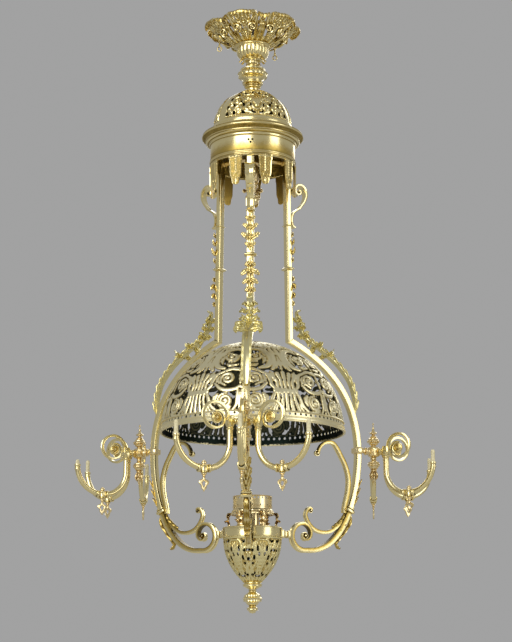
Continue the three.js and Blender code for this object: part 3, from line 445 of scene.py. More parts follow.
def whorl(centre, angles, radii, halves, rise, squeeze):
    """A spiral stroke round (u, v); squeeze divides its reach along u, so that it stays round."""
    curl = coil((0, 0), angles, radii, 15)
    path = np.stack([centre[0] + curl[:, 0] / squeeze, centre[1] - curl[:, 1]], 1)
    return stroke(path, halves, rise, 0.0, 0, 5)


def relief_at(points, bands):
    """For each point, how far it lies outside the nearest band, and the height of the bands there:
    a half round of the share of the half width, or raised edges with a sunk middle."""
    edge, height = np.full(len(points), FAR), np.zeros(len(points))
    rows = np.arange(len(points))
    for middle, halves, rise, strap in bands:
        gap = np.linalg.norm(points[:, None] - middle, axis=2)
        nearest = np.argmin(gap - halves, axis=1)
        reach, wide = gap[rows, nearest], halves[nearest]
        share = np.clip(reach / wide, 0, 1)
        arch = np.sqrt(1 - share**2) * (1 - strap * np.exp(-((share / 0.45) ** 2)))
        edge = np.minimum(edge, reach - wide)
        height = np.maximum(height, rise * arch)
    return edge, height


def openwork(place, columns, rows, strokes, voids, ledge, wall):
    """Half a slice of a cast and pierced wall, from u = 0 to its end. columns is (its end, cells)
    and rows is ((top, foot), cells). It is open where a point is further than the ledge from every
    stroke, unless ledge is None, or inside a void; points beside such an edge are moved on to it.
    place(u, v, out) gives the wall's points; each stroke is mirrored at both ends."""
    width, (top, foot) = columns[0], rows[0]
    du, dv = width / columns[1], (foot - top) / rows[1]
    u, v = np.meshgrid(du * np.arange(-1, columns[1] + 2), top + dv * np.arange(-1, rows[1] + 2))
    shape = u.shape

    def copies(drawn):
        """Drawn lines and their mirror images across both ends of the slice, as far as they reach
        it."""
        found = []
        for way, halves, rise, strap in drawn:
            for flip, shift in ((1, 0), (-1, 0), (-1, 2 * width)):
                copy = way * (flip, 1) + (shift, 0)
                if copy[:, 0].max() > -0.3 * width and copy[:, 0].min() < 1.3 * width:
                    found.append((place(copy[:, 0], copy[:, 1], 0.0), halves, rise, strap))
        return found

    bands, holes = copies(strokes), copies(voids)
    points = place(u, v, 0.0).reshape(-1, 3)
    field = relief_at(points, bands)[0] - ledge if ledge is not None else np.full(len(points), -FAR)
    if holes:
        field = np.maximum(field, -relief_at(points, holes)[0])
    field = field.reshape(shape)
    slope_v, slope_u = np.gradient(field)
    steep = np.maximum(slope_u**2 + slope_v**2, 1e-9)
    move_u, move_v = -field * slope_u / steep, -field * slope_v / steep
    near = (np.maximum(np.abs(move_u), np.abs(move_v)) < NEAR_CELL) & (np.abs(field) < FAR / 20)
    solid = ((field <= 0) | near)[1:-1, 1:-1]
    move_u, move_v = np.where(near, move_u, 0), np.where(near, move_v, 0)
    move_u[:, [1, -2]] = 0
    move_v[[1, -2]] = 0
    u, v = (u + move_u * du)[1:-1, 1:-1], (v + move_v * dv)[1:-1, 1:-1]
    keep = solid[:-1, :-1] & solid[1:, :-1] & solid[:-1, 1:] & solid[1:, 1:]
    for _ in range(3):
        a, b, c, d = keep[:-1, :-1], keep[:-1, 1:], keep[1:, :-1], keep[1:, 1:]
        corner = (a & d & ~b & ~c) | (b & c & ~a & ~d)
        for quarter in (a, b, c, d):
            quarter &= ~corner
    height = relief_at(place(u, v, 0.0).reshape(-1, 3), bands)[1].reshape(u.shape)
    outer, inner = place(u, v, height), place(u, v, BACK_RELIEF * height - wall)
    count = u.shape[1]
    index = np.arange(u.size).reshape(u.shape)
    square = np.stack([index[:-1, :-1], index[:-1, 1:], index[1:, 1:], index[1:, :-1]], -1)[keep]
    padded = np.pad(keep, ((1, 1), (0, 0)))
    level = np.argwhere(padded[1:] != padded[:-1])
    upright_edge = np.argwhere(keep[:, 1:] != keep[:, :-1]) + (0, 1)
    starts = np.concatenate([level @ (count, 1), upright_edge @ (count, 1)])
    ends = np.concatenate([level @ (count, 1) + 1, upright_edge @ (count, 1) + count])
    walls = np.stack([starts, ends, ends + u.size, starts + u.size], 1)
    faces = np.concatenate([square, square[:, ::-1] + u.size, walls])
    # The top of the relief is polished, its ground is tarnished and its back is painted dark, as
    # soot and as the shade inside the wall
    proud = np.clip(0.12 + height / 2.2, 0, 1).ravel()
    relief = np.concatenate([proud, 0.5 * proud])
    soot_and_shade = np.concatenate([0 * proud, 1 - 0.25 * proud])
    used, faces = np.unique(faces, return_inverse=True)
    points = np.concatenate([outer.reshape(-1, 3), inner.reshape(-1, 3)])[used]
    return Form(points, faces.reshape(-1, 4), relief[used], soot_and_shade[used])


# Finishes


def add_node(tree, kind, values=(), **settings):
    """A new node with its settings, and with each named or numbered input set to a value or linked
    to a socket."""
    node = tree.nodes.new(kind)
    for key, value in settings.items():
        setattr(node, key, value)
    for key, value in dict(values).items():
        if isinstance(value, bpy.types.NodeSocket):
            tree.links.new(value, node.inputs[key])
        else:
            node.inputs[key].default_value = value
    return node


def layered(tree, value, low, high, under, over):
    """The socket of a colour that goes from one to another by a smooth step, while a value goes
    from low to high. Colours are codes or sockets."""
    step = {"Value": value, "From Min": low, "From Max": high}
    share = add_node(tree, "ShaderNodeMapRange", step, interpolation_type="SMOOTHSTEP").outputs[0]
    ends = [linear(c) if isinstance(c, str) else c for c in (under, over)]
    mix = {0: share, 6: ends[0], 7: ends[1]}
    return add_node(tree, "ShaderNodeMix", mix, data_type="RGBA").outputs[2]


def grounded(name, spots):
    """A material without a surface yet, its tree, and the sockets of noises with spots of the given
    sizes in mm and finenesses."""
    material = bpy.data.materials.new(name)
    material.use_nodes = True
    tree = material.node_tree
    tree.nodes.clear()
    place = add_node(tree, "ShaderNodeTexCoord").outputs["Object"]
    clouds = [add_node(tree, "ShaderNodeTexNoise", {
        "Vector": place, "Scale": 1 / (spot * MM), "Detail": fineness
    }).outputs[0] for spot, fineness in spots]
    return material, tree, clouds


def surfaced(tree, colour, metallic, rough, bumps=None):
    """Gives a material its surface: colour, metal, roughness and bumps, which are a socket, their
    strength and their depth in mm."""
    looks = {"Base Color": colour, "Metallic": metallic, "Roughness": rough}
    if bumps:
        height, strength, depth = bumps
        relief = {"Height": height, "Strength": strength, "Distance": depth * MM}
        looks["Normal"] = add_node(tree, "ShaderNodeBump", relief).outputs[0]
    shader = add_node(tree, "ShaderNodeBsdfPrincipled", looks)
    add_node(tree, "ShaderNodeOutputMaterial", {"Surface": shader.outputs[0]})


def brass(name, bright, worn, dark, gloss, grain_mm, grain_depth, soot_and_shade):
    """Brass with its polish on what stands proud and its tarnish in the ground: the shade is the
    relief times the ambient occlusion, painted shade in shut-in spots, plus two sizes of clouding."""
    material, tree, clouds = grounded(name, ((38, 4.0), (5, 3.0), (grain_mm, 2.0)))
    patches, specks, grain = clouds
    relief, soot_and_shade_level = (
        add_node(tree, "ShaderNodeAttribute", attribute_name=key).outputs["Fac"]
        for key in ("relief", "soot_and_shade")
    )
    # Painted shade: ambient occlusion darkens grounds and quirks within 5 mm of a wall, over their
    # tarnish
    occlusion_shade = add_node(
        tree, "ShaderNodeAmbientOcclusion", {"Distance": 5 * MM}, samples=4, only_local=True
    )
    # Painted shade: the relief times the occlusion, so shut-in grounds take the dark colour
    proud = add_node(
        tree, "ShaderNodeMath", {0: relief, 1: occlusion_shade.outputs["AO"]}, operation="MULTIPLY"
    )
    shade = proud.outputs[0]
    for clouding, strength in ((patches, 0.35), (specks, 0.3)):
        shade = add_node(
            tree, "ShaderNodeMath", {0: clouding, 1: strength, 2: shade}, operation="MULTIPLY_ADD"
        ).outputs[0]
    # Tarnish and painted occlusion shade below a shade of about 0.4, worn metal round 0.65, polish
    # above about 0.9
    ground = layered(tree, shade, 0.22, 0.66, dark, worn)
    face = layered(tree, shade, 0.62, 1.15, ground, bright)
    # Soot and painted shade: the backs of walls, inner faces and screw holes take the dark colour
    colour = layered(tree, soot_and_shade_level, 0.2, 0.9, face, soot_and_shade)
    # What stands proud has been wiped, so it is smoother
    wiped = {
        "Value": shade, "From Min": 0.4, "From Max": 1.1, "To Min": gloss + 0.22, "To Max": gloss
    }
    rough = add_node(tree, "ShaderNodeMapRange", wiped, interpolation_type="SMOOTHSTEP")
    surfaced(tree, colour, 1.0, rough.outputs[0], (grain, 0.5, grain_depth))
    return material


def iron(name, grey, rust):
    """Rolled iron pipe, painted and worn: dark, half dull, with rusty clouds."""
    material, tree, (patches,) = grounded(name, ((14, 5.0),))
    colour = layered(tree, patches, 0.45, 0.7, grey, rust)
    step = {"Value": patches, "From Min": 0.45, "From Max": 0.7}
    rusty = add_node(tree, "ShaderNodeMapRange", step, interpolation_type="SMOOTHSTEP")
    duller = {"Value": rusty.outputs[0], "To Min": 0.45, "To Max": 0.8}
    rough = add_node(tree, "ShaderNodeMapRange", duller, interpolation_type="SMOOTHSTEP")
    surfaced(tree, colour, 0.6, rough.outputs[0], (patches, 0.4, 0.2))
    return material


def ceramic(name, body, stain):
    """Pressed and fired steatite without a glaze: matt, off white, a little stained by heat."""
    material, tree, (patches, grit) = grounded(name, ((4, 4.0), (0.4, 1.0)))
    colour = layered(tree, patches, 0.4, 0.75, body, stain)
    surfaced(tree, colour, 0.0, 0.7, (grit, 0.3, 0.05))
    return material


FINISHES = {}
BLACK_SOOT_AND_SHADE, GREEN_SOOT_AND_SHADE = "1b2420", "222c26"
# The polished, worn and dark colours of each brass, how much duller it is than the setting, the
# size and the depth of its grain in mm, and its colour of soot and painted shade
BRASSES = {
    # Rolled and spun brass, polished and lacquered long ago: clear highlights, brown clouds. Two of
    # its colours are settings
    "polished_brass": (None, None, "4f431f", 0.0, 0.9, 0.05, BLACK_SOOT_AND_SHADE),
    # Cast and pierced brass, old gold, with a sand grain; the inside is painted black green, as
    # soot and shade
    "old_gold_brass": ("f8ebae", "d0b668", "41392a", 0.16, 0.7, 0.12, GREEN_SOOT_AND_SHADE),
    # The dome's cast openwork, its old lacquer bleached to pale gold by the heat of the burners
    "pale_brass": ("faf0c4", "d8c486", "4a4432", 0.14, 0.7, 0.12, GREEN_SOOT_AND_SHADE),
    # Cast brass leaves that were never buffed: olive grounds with light edges
    "green_brass": ("f8eeb6", "d6c880", "45462c", 0.08, 0.8, 0.15, BLACK_SOOT_AND_SHADE),
    # Turned red brass of the gas fittings: pinker, with a soft shine
    "rose_brass": ("f8e4ae", "cfac68", "5f4a2c", 0.03, 0.8, 0.05, BLACK_SOOT_AND_SHADE),
}


def finish_named(name):
    """The material of that name, made the first time it is asked for."""
    colours = bpy.context.scene.gasolier_finishes
    if name in FINISHES:
        return FINISHES[name]
    if name == "iron_pipe":
        FINISHES[name] = iron(name, "3a3a38", "5a3a28")
    elif name == "burner_ceramic":
        FINISHES[name] = ceramic(name, "ece2b8", "cfc39a")
    else:
        bright, worn, dark, duller, *grain_and_soot_and_shade = BRASSES[name]
        shades = (bright or colours.bright, worn or colours.worn, dark)
        FINISHES[name] = brass(name, *shades, colours.gloss + duller, *grain_and_soot_and_shade)
    return FINISHES[name]


def build(name, forms, finish, nodes, body="frame"):
    """One mesh from some forms, placed in the frame, standing for CAD nodes and riding a body."""
    points = np.vstack([form.points for form in forms]) * MM
    starts = np.cumsum([0] + [len(form.points) for form in forms[:-1]])
    faces = np.vstack([form.faces + start for form, start in zip(forms, starts)])
    mesh = bpy.data.meshes.new(name)
    mesh.vertices.add(len(points))
    mesh.vertices.foreach_set("co", points.ravel())
    mesh.loops.add(faces.size)
    mesh.loops.foreach_set("vertex_index", faces.ravel())
    mesh.polygons.add(len(faces))
    mesh.polygons.foreach_set("loop_start", np.arange(0, faces.size, 4))
    for key in ("relief", "soot_and_shade"):
        values = np.concatenate([getattr(form, key) for form in forms])
        mesh.attributes.new(key, "FLOAT", "POINT").data.foreach_set("value", values)
    mesh.update(calc_edges=True)
    mesh.validate()
    work = bmesh.new()
    work.from_mesh(mesh)
    bmesh.ops.remove_doubles(work, verts=work.verts, dist=WELD)
    bmesh.ops.dissolve_degenerate(work, edges=work.edges, dist=SLIVER)
    bmesh.ops.recalc_face_normals(work, faces=work.faces)
    work.to_mesh(mesh)
    work.free()
    mesh.shade_smooth()
    mesh.set_sharp_from_angle(angle=SHARP_EDGE)
    mesh.materials.append(finish_named(finish))
    piece = bpy.data.objects.new(name, mesh)
    bpy.context.scene.collection.objects.link(piece)
    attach(piece, body)
    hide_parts(*([nodes] if isinstance(nodes, str) else nodes))
    return piece


# Top: pipe, crown, bell, stem and domed casing

CROWN_TURN = 18.0
CASING_TURN = -80.0


def pipe_forms():
    """Hexagonal coupling and pipe: six-sided and round profiles turned about the axis."""
    hexagon = revolve([
        (10.8, -0.2), (17, -0.2), (19.2, -1.6), (19.2, -34.4), (17, -36), (10.8, -36)
    ], 6, None, 0.8)
    pipe = revolve([(7.5, -18), (10.5, -18), (10.5, -366), (7.5, -366)], 40, None, 0.6)
    return [hexagon.spun(30), pipe]


CROWN_LINE = flow([
    (45.5, -57), (52, -54.5), (61, -49), (71, -41.5), (81, -33), (91, -24.5), (101, -16),
    (110, -8.5), (117, -4), (123.5, -3.2), (128, -7), (128.4, -13)
], 6)


def crown_place(u, v, out):
    """The crown's skin at azimuth u, from a leaf's middle, and share v of its way up and out: the
    profile, drawn in and down towards the dips, swollen along each leaf's middle."""
    radius, height, face_r, face_z = on_profile(CROWN_LINE, 1, v)
    off = np.abs((np.asarray(u, float) + 30) % 60 - 30) / 30
    radius = (radius + out * face_r) * (
        1 - 0.10 * v**1.5 * off**2 + 0.03 * np.sin(math.pi * v) * (1 - off**2)
    )
    height = np.minimum(
        height + out * face_z - 9 * v**2 * off**2 + 1.2 * v * np.cos(math.pi * 3.5 * off), 0.8
    )
    return about_axis(u, radius, height)


def crown_forms():
    """Six cast leaves in twelve mirrored slices: a mid rib between two big whorls, fans of leaflets
    towards a thin scalloped rim, with a small leaf between each two, cut apart at the rim and
    pierced at the roots; volutes and a flower stand between the leaves."""
    curl = (8.6, 0.6) + coil((0, 0), (-160, 420), (1, 0.17), 14) * (7.4, 0.15)
    strokes = [
        stroke([(0, 0.1), (0, 0.5), (0, 0.95)], [2.4, 3.0, 2.0], 2.0),
        stroke(curl, [1.8, 2.2, 2.0], 2.4, 0.0, 0, 3),
        stroke([(1.5, 0.3), (4, 0.42), (10, 0.46)], [1.6, 2.6, 1.8], 2.2),
        stroke([
            (12.6, 0.2), (19.6, 0.44), (20.4, 0.62), (18.2, 0.84), (16.2, 0.95)
        ], [1.8, 3.0, 3.2, 2.2], 2.4), stroke([(15, 0.06), (15, 0.14)], [3, 4], 1.8),
        stroke([(30, 0.06), (30, 0.3)], [3, 5], 2.0),
        stroke([(30, 0.5), (30, 0.97)], [3.4, 4.4, 2.4], 2.2),
        stroke([(25.4, 0.6), (26, 0.9)], [2.2, 2.6], 1.8)
    ]
    for foot, tip in (
        ((2.2, 0.76), (2.0, 0.98)), ((5.0, 0.78), (6.2, 0.98)), ((8.8, 0.79), (10.6, 0.98)),
        ((12.6, 0.76), (14.8, 0.97)), ((14.6, 0.62), (18.2, 0.8)), ((14.0, 0.46), (18.6, 0.58)),
        ((8, 0.2), (11.6, 0.4)), ((3.6, 0.14), (6.0, 0.34)), ((24, 0.3), (22.6, 0.5))
    ):
        strokes.append(stroke([foot, tip], [1.0, 2.3, 1.2], 2.0))
    voids = [
        stroke([(21.4, 0.70), (20.8, 0.84), (20.6, 1.04)], [1.6, 4.0, 7.0]),
        stroke([(14.8, 0.19), (16.2, 0.33)], [3.0, 4.2]),
        stroke([(26.4, 0.34), (27.2, 0.42)], [2.4, 3.0]),
        stroke([(24.4, 0.52), (24.8, 0.58)], [1.8, 2.4]),
        stroke([(4.6, 0.38), (4.0, 0.34)], [1.2, 1.8]), stroke([(12.6, 0.54), (12.9, 0.6)], 1.4)
    ]
    for at in (4.2, 8.4, 12.6, 16.8, 26.8):
        voids.append(stroke([(at, 1.03), (at, 0.985)], [2.9, 1.8]))
    half = openwork(crown_place, (30.0, 48), ((0.0, 1.0), 64), strokes, voids, None, 1.6)
    half.soot_and_shade[:] = 0
    half.relief = np.clip(0.25 + 0.9 * half.relief, 0, 1)
    forms = around(both_sides([half]), 6, -60)
    dip = []
    spine, normals = upright(flow([(56, -51), (70, -46), (82, -38), (89, -28), (91, -20)], 6))
    widths = tapered(spine, [0, 0.3, 0.7, 1], [4, 9, 9, 3])
    dip.append(leaf(spine + (2.5, 0, -3), -normals, widths, 3, 0.2, 0.3, 2.4))
    outward = unit(np.array([0.75, 0, -0.66]))
    lift = np.array([0.66, 0, 0.75])
    for side in (-1, 1):
        curl = coil((0, 0), (-100, 500), (13, 2.2), 52)
        path = np.array([83, 0, -34.5]) + curl[:, :1] * np.array([0, side, 0]) + curl[:, 1:] * lift
        path[:, 1] += side * 24
        taper = np.linspace(3.4, 2.2, 52)
        dip.append(carry(path, np.broadcast_to(outward, path.shape), REED, taper, taper * 1.5))
        dip.append(ball((84.5, side * 24, -36), 3.6, 8))
    flower = rosette((0, 0, 0), 9, 4.5, 6).through([[0, -1, 0], [1, 0, 0], [0, 0, 1]])
    tilt = math.radians(38)
    spin = [[math.cos(tilt), 0, math.sin(tilt)], [0, 1, 0], [-math.sin(tilt), 0, math.cos(tilt)]]
    dip.append(flower.through(spin).moved((104, 0, -17)))
    forms += around(dip, 6, -90)
    return [form.spun(CROWN_TURN) for form in forms]


def hook_forms():
    """Two wire eyes under the crown: a round section carried round a circle and down a stem."""
    forms = []
    for x, y, top in ((58, 40, -58), (-90, 4, -44)):
        forms.append(wire_ring((x, y, top - 18), 5.5, 6.5, 1.4, 18))
        stem = revolve([
            (0, top + 9), (2.2, top + 9), (1.6, top - 4), (3.2, top - 8), (1.4, top - 12),
            (0, top - 12)
        ], 16)
        forms.append(stem.moved((x, y, 0)))
    return forms


def bell_forms():
    """Gadrooned bell: a turned profile whose radius swells in round lobes between the two rings,
    and small leaf tips that curl out at its foot."""
    lobes = 18

    def ripple(azimuth, radius, height):
        """Round lobes, a power of a cosine, fading out towards both rings."""
        amount = np.clip((-65 - height) / 4, 0, 1) * np.clip((height + 96) / 4, 0, 1)
        return 2.6 * amount * (np.abs(np.cos(lobes / 2 * azimuth)) ** 0.7 - 0.6) * (radius > 21)

    forms = [turned([
        (41, -57.2), (46.5, -57.2, 0.3), (49.2, -59.5, -0.6), (46.5, -63), (43.8, -64, -0.3),
        (42.5, -66.5), (42.4, -71), (42.2, -77), (40.5, -84), (36.5, -90), (30.5, -94),
        (26, -96.5, -0.4), (25.5, -99), (20, -99), (20, -90), (35, -76)
    ], 5, 288, ripple, 0.75)]
    spine, normals = upright(flow([(24, -90), (30, -97), (34.5, -101), (36, -99)], 4))
    widths = tapered(spine, [0, 0.5, 1], [4, 4.5, 1.5])
    forms += around([leaf(spine, -normals, widths, 2, 0.3, 0.3, 1.4)], 12)
    return forms


def stem_forms():
    """Fluted neck, lobed knop and rings: one turned profile with lobes between its quirks."""

    def ripple(azimuth, radius, height):
        """Twelve lobes round the knop and ten flutes round the neck, as cosines."""
        neck = np.clip(1 - np.abs(height + 105) / 6, 0, 1)
        knop = np.clip(1 - ((height + 138) / 17) ** 2, 0, 1)
        lobed = 1.9 * knop * (np.abs(np.cos(6 * azimuth)) ** 0.6 - 0.5)
        return (lobed - 1.3 * neck * (0.5 + 0.5 * np.cos(10 * azimuth))) * (radius > 9.5)

    forms = [turned([
        (9, -97), (16, -97, -0.3), (14, -101, 0.1), (13.2, -108), (16, -113, -0.6), (16, -117),
        (24, -119.5), (33, -125, -0.35), (40, -137, -0.4), (38, -147, -0.3), (25, -157),
        (24, -159, -0.6), (28, -162, -0.6), (27, -166), (20, -168, 0.5), (19, -171, -0.5),
        (22.5, -174, -0.6), (21, -177), (16, -180), (15.5, -187.5), (9, -187.5)
    ], 6, 192, ripple, 0.75)]
    beads = ball((20.6, 0, -171.5), 1.5, 8)
    return forms + around([beads], 24)


def casing_forms():
    """Domed casing: a cast globe wall in three mirrored panels of scrolls, a shell and a ridge
    border, pierced along the foot and the sides of each panel, with a plain strip between
    panels."""
    radius, spring, foot, top = 102.2, -291.0, -300.0, -187.6

    def place(u, v, out):
        """The globe's point, no higher than the casing's top."""
        return np.minimum(on_globe(u, v, radius + out, spring), (np.inf, np.inf, top))

    strokes = [
        stroke([(0, 86), (24, 86), (50, 85.6)], 2.6, 2.4),
        stroke([
            (50, 86), (50.5, 76), (49, 64), (45, 51), (38, 39), (28, 29), (16, 22.5), (0, 20)
        ], 2.4, 2.8), stroke([(0, 78), (5, 76), (8.5, 70), (8, 62)], [2, 3.4, 3, 1.8], 2.6)
    ]
    for path, wide, rise in (
        ([(2, 83), (8, 84), (18, 81), (24, 84)], 3.4, 2.4),
        ([(36, 83), (31, 70), (22, 62), (21, 54)], 3.4, 2.4),
        ([(47, 80), (44, 70), (40, 66), (42, 58)], 3.2, 2.2),
        ([(22, 53), (28, 51), (31, 48), (34, 42)], 3.2, 2.2),
        ([(5, 48), (12, 46), (16, 40), (13, 33)], 3.2, 2.2),
        ([(3, 62), (9, 63), (13, 66), (19, 74)], 3.2, 2.4),
        ([(2, 30), (8, 29), (12, 28), (15, 27)], 3.2, 2.0)
    ):
        strokes.append(stroke(path, [1.6, wide, wide, 1.6], rise))
    for centre, angles, radii in (
        ((13, 75), (250, -260), (8.5, 1.4)), ((29, 77), (-70, 420), (8, 1.4)),
        ((43, 77), (250, -180), (6.2, 1.2)), ((34, 60), (200, -320), (9.4, 1.5)),
        ((15, 55), (-20, 480), (8.4, 1.4)), ((26, 42), (-60, 400), (7.2, 1.2)),
        ((10, 36), (240, -240), (6.2, 1.2)), ((46, 63), (-40, 300), (4.4, 1))
    ):
        squeeze = math.sin(math.radians(centre[1]))
        strokes.append(whorl(centre, angles, radii, [1.6, 2.6, 2.4, 1.6], 2.7, squeeze))
        strokes.append(stroke([centre, (centre[0] + 0.4, centre[1])], 2.4, 2.9))
    for tip, root, wide in (
        ((30, 84), (24, 74), 4.6), ((17, 84), (16, 76), 4.4), ((44, 84), (38, 78), 4),
        ((24, 57), (15, 63), 4.6), ((39, 56), (44, 63), 4), ((31, 39), (22, 47), 4.4),
        ((20, 36), (12, 42), 4), ((9, 30), (4, 36), 4)
    ):
        strokes.append(stroke([root, tip], [2, wide, wide, 1.2], 2.4, 0.5, 3, 14))
    for k in range(0, 4):
        path = [(0.9 * k, 68), (2.3 * k, 62), (3.8 * k, 56 + 0.5 * k), (5.2 * k, 52 + 1.6 * k)]
        strokes.append(stroke(path, [1.6, 2.4, 3.2, 2.4], 2.8))
    strokes.append(stroke([(0, 70.5), (0.4, 70.5)], 5, 2.9, 0.3))
    low = [
        ([(4, 83.4), (6.4, 83.2), (8, 80.6)], 2.3), ([(20, 83.6), (22.6, 83.6), (22, 80.8)], 2.5),
        ([(34.4, 83.8), (36.6, 83.6), (35.6, 80.4)], 2.5),
        ([(46.4, 84), (48.4, 83.6), (47.8, 80)], 2.2), ([(20.6, 71.4), (21.4, 67.6)], 2.5),
        ([(36.4, 70), (38, 67.4)], 2.4), ([(48, 73.4), (47.6, 69)], 2.0),
        ([(24.6, 65), (25.6, 62)], 2.0), ([(46.6, 57.6), (45, 54.4)], 2.2),
        ([(32, 48.8), (36.4, 46.6)], 1.9), ([(20, 47.6), (21, 45)], 2.0),
        ([(36, 41), (34.4, 38)], 2.0), ([(18, 30.5), (20, 28.6)], 1.9),
        ([(6.4, 43), (7.6, 40)], 1.9), ([(9.6, 71.6), (10, 68.4)], 1.7)
    ]
    voids = [stroke(path, 1.25 * wide) for path, wide in low]
    half = openwork(place, (60.0, 64), ((9.2, 92.0), 88), strokes, voids, None, 1.8)
    reach = np.linalg.norm(half.points - (0, 0, spring), axis=1)
    way = np.abs(np.degrees(np.arctan2(half.points[:, 1], half.points[:, 0])))
    polar = np.degrees(np.arccos(np.clip((half.points[:, 2] - spring) / reach, -1, 1)))
    # Outside the ridge border the wall is plain and polished
    border = np.interp(polar, [20, 22.5, 29, 39, 51, 64, 76, 86], [0, 16, 28, 38, 45, 49, 50.5, 50])
    outside = half.soot_and_shade < 0.5
    half.relief = np.where(outside, 0.35 + 0.65 * half.relief, half.relief)
    half.relief[outside & ((way > border) | (polar < 20) | (polar > 88))] = 0.85
    forms = around(both_sides([half]), 3, CASING_TURN)
    forms.append(revolve([
        (101.5, -288), (104.4, -288), (105.6, -290.5), (105.8, -296), (108.4, -298),
        (108.4, foot + 0.1), (104, foot + 0.1), (101.5, -296)
    ], 96, None, 0.9))
    forms.append(revolve([
        (10.6, top - 1.6), (10.6, top - 0.1), (17, top - 0.1), (20.5, -188.6), (21, -191),
        (17, -191.4)
    ], 48, None, 0.9))
    return forms


def drum_forms():
    """Cornice and band: a turned profile of rings, a milled fillet whose radius ripples finely, and
    a plain band between beads; three small screw holes over the front arm, dark discs whose colour
    is painted shade."""

    def ripple(azimuth, radius, height):
        """A fine cosine round the fillet."""
        band = (height < -321.2) & (height > -327.3) & (radius > 125)
        return 0.7 * band * np.cos(120 * azimuth) + 0 * azimuth

    forms = [turned([
        (103.8, -300.2), (109.6, -300.2, -0.3), (113, -302.5, 0.4), (119, -306),
        (126.5, -309.5, -0.3), (130.5, -312.5, 0.5), (133, -314, -0.8), (134.8, -319.5),
        (133.2, -321), (132.2, -321.3), (127.5, -326.5), (126.4, -327, -0.7), (124.8, -331, 0.4),
        (121, -335), (118.8, -336.2, -0.6), (115.6, -340, 0.5), (113, -343), (111.9, -346),
        (111.8, -383.4), (113, -384, -0.8), (114.4, -388.4, -0.8), (113.4, -392.4, -0.6),
        (112.6, -395.9), (110.3, -395.9), (110.3, -344), (103.8, -304)
    ], 5, 480, ripple, 0.95)]
    level = forms[0].points[:, 2:]
    groove = np.abs(level - [
        -302.3, -309.3, -313.2, -321.4, -326.9, -331.5, -336, -343.4, -383.8, -392.6
    ])
    forms[0].relief = np.where(groove.min(1) < 0.9, 0.15, 0.95)
    for turn, height in ((-92.5, -357), (-87.5, -357), (-90, -364)):
        # Painted shade: each screw hole is a small disc coloured fully dark, standing for the shade
        # inside the hole
        hole = revolve([
            (0, 0.4), (1.9, 0.4), (2.5, 0.9), (2.9, 0.4), (2.9, -0.8), (0, -0.8)
        ], 16, None, 0.2, 1.0)
        forms.append(hole.through(ALONG_X).moved((111.9, 0, height)).spun(turn))
    return forms


def pendant_forms():
    """Nine hanging plates and their hoop. Across s and down a plate, its face stands off by a rim,
    a middle stem with chevron leaflets beside it, and a rosette, a cosine of the distance."""
    reach, hung, length = 110.8, -396.4, 79.7
    steps = [
        (18.4, 0), (18.4, -12), (16.8, -17), (16.2, -30), (15.4, -50), (13.6, -57), (10.6, -63),
        (10, -71), (8.2, -77), (3.2, -79.8)
    ]
    levels = np.linspace(0, -length, 96)
    half = np.interp(-levels, [-z for _, z in steps], [w for w, _ in steps])[:, None]
    s = np.linspace(-1, 1, 33)[None, :]
    x, z = half * s, levels[:, None] + 0 * s
    edge = np.minimum(half - np.abs(x), length + z)
    rim = np.clip(1.2 - edge / 2.4, 0, 1)
    stem = np.clip(1.3 - np.abs(x) / 1.7, 0, 1)
    chevron = np.clip(0.2 + np.sin((z - 0.9 * np.abs(x)) * 0.9), 0, 1) * (edge > 2.6)
    round_spot = np.hypot(x, z + 54)
    flower = np.clip(np.cos(round_spot * 1.05), 0, 1)
    inside = round_spot < 7.4
    lobe = np.clip(1.2 - np.hypot(x, z + 70) / 4, 0, 1)
    bands = np.clip(1.2 - np.abs(z + 4) / 1.6, 0, 1)
    height = 1.7 * np.maximum.reduce([
        rim, np.where(inside, flower, np.maximum(stem, chevron)), lobe, bands
    ])
    front = np.stack([x, -(reach + 1.1 + height), hung + z], -1)
    back = np.stack([x, 0.3 - reach + 0 * x, hung + z], -1)
    rings = np.concatenate([front, back[:, ::-1]], 1)
    proud = np.clip(0.3 + 0.6 * height, 0, 1)
    plate = skin(rings, np.concatenate([proud, 0 * proud + 0.3], 1))
    hoop = revolve([
        (110.3, -396.3), (112.6, -396.3), (113.6, -397.6), (112.6, -399.2), (110.3, -399.2)
    ], 120)
    return [hoop, *around([plate], 9, 20)]


def distributor_forms():
    """Hub, barrel and three outlets of the gas way: turned profiles on the axis and across it."""
    forms = [revolve([
        (10.6, -352.2), (19, -352.2), (20, -354), (20, -390), (18, -392.5), (13.2, -394),
        (13.2, -404), (16.4, -408), (16.4, -436), (15, -439.8), (7.5, -439.8), (7.5, -380),
        (10.6, -370)
    ], 48)]
    outlet = revolve([
        (3.5, 12), (7, 12), (7, 86), (9.5, 87), (9.5, 91), (7, 92), (7, 93.6), (3.5, 93.6)
    ], 28)
    forms += around([outlet.through(ALONG_X).moved((0, 0, -372))], ARMS, -90)
    return forms


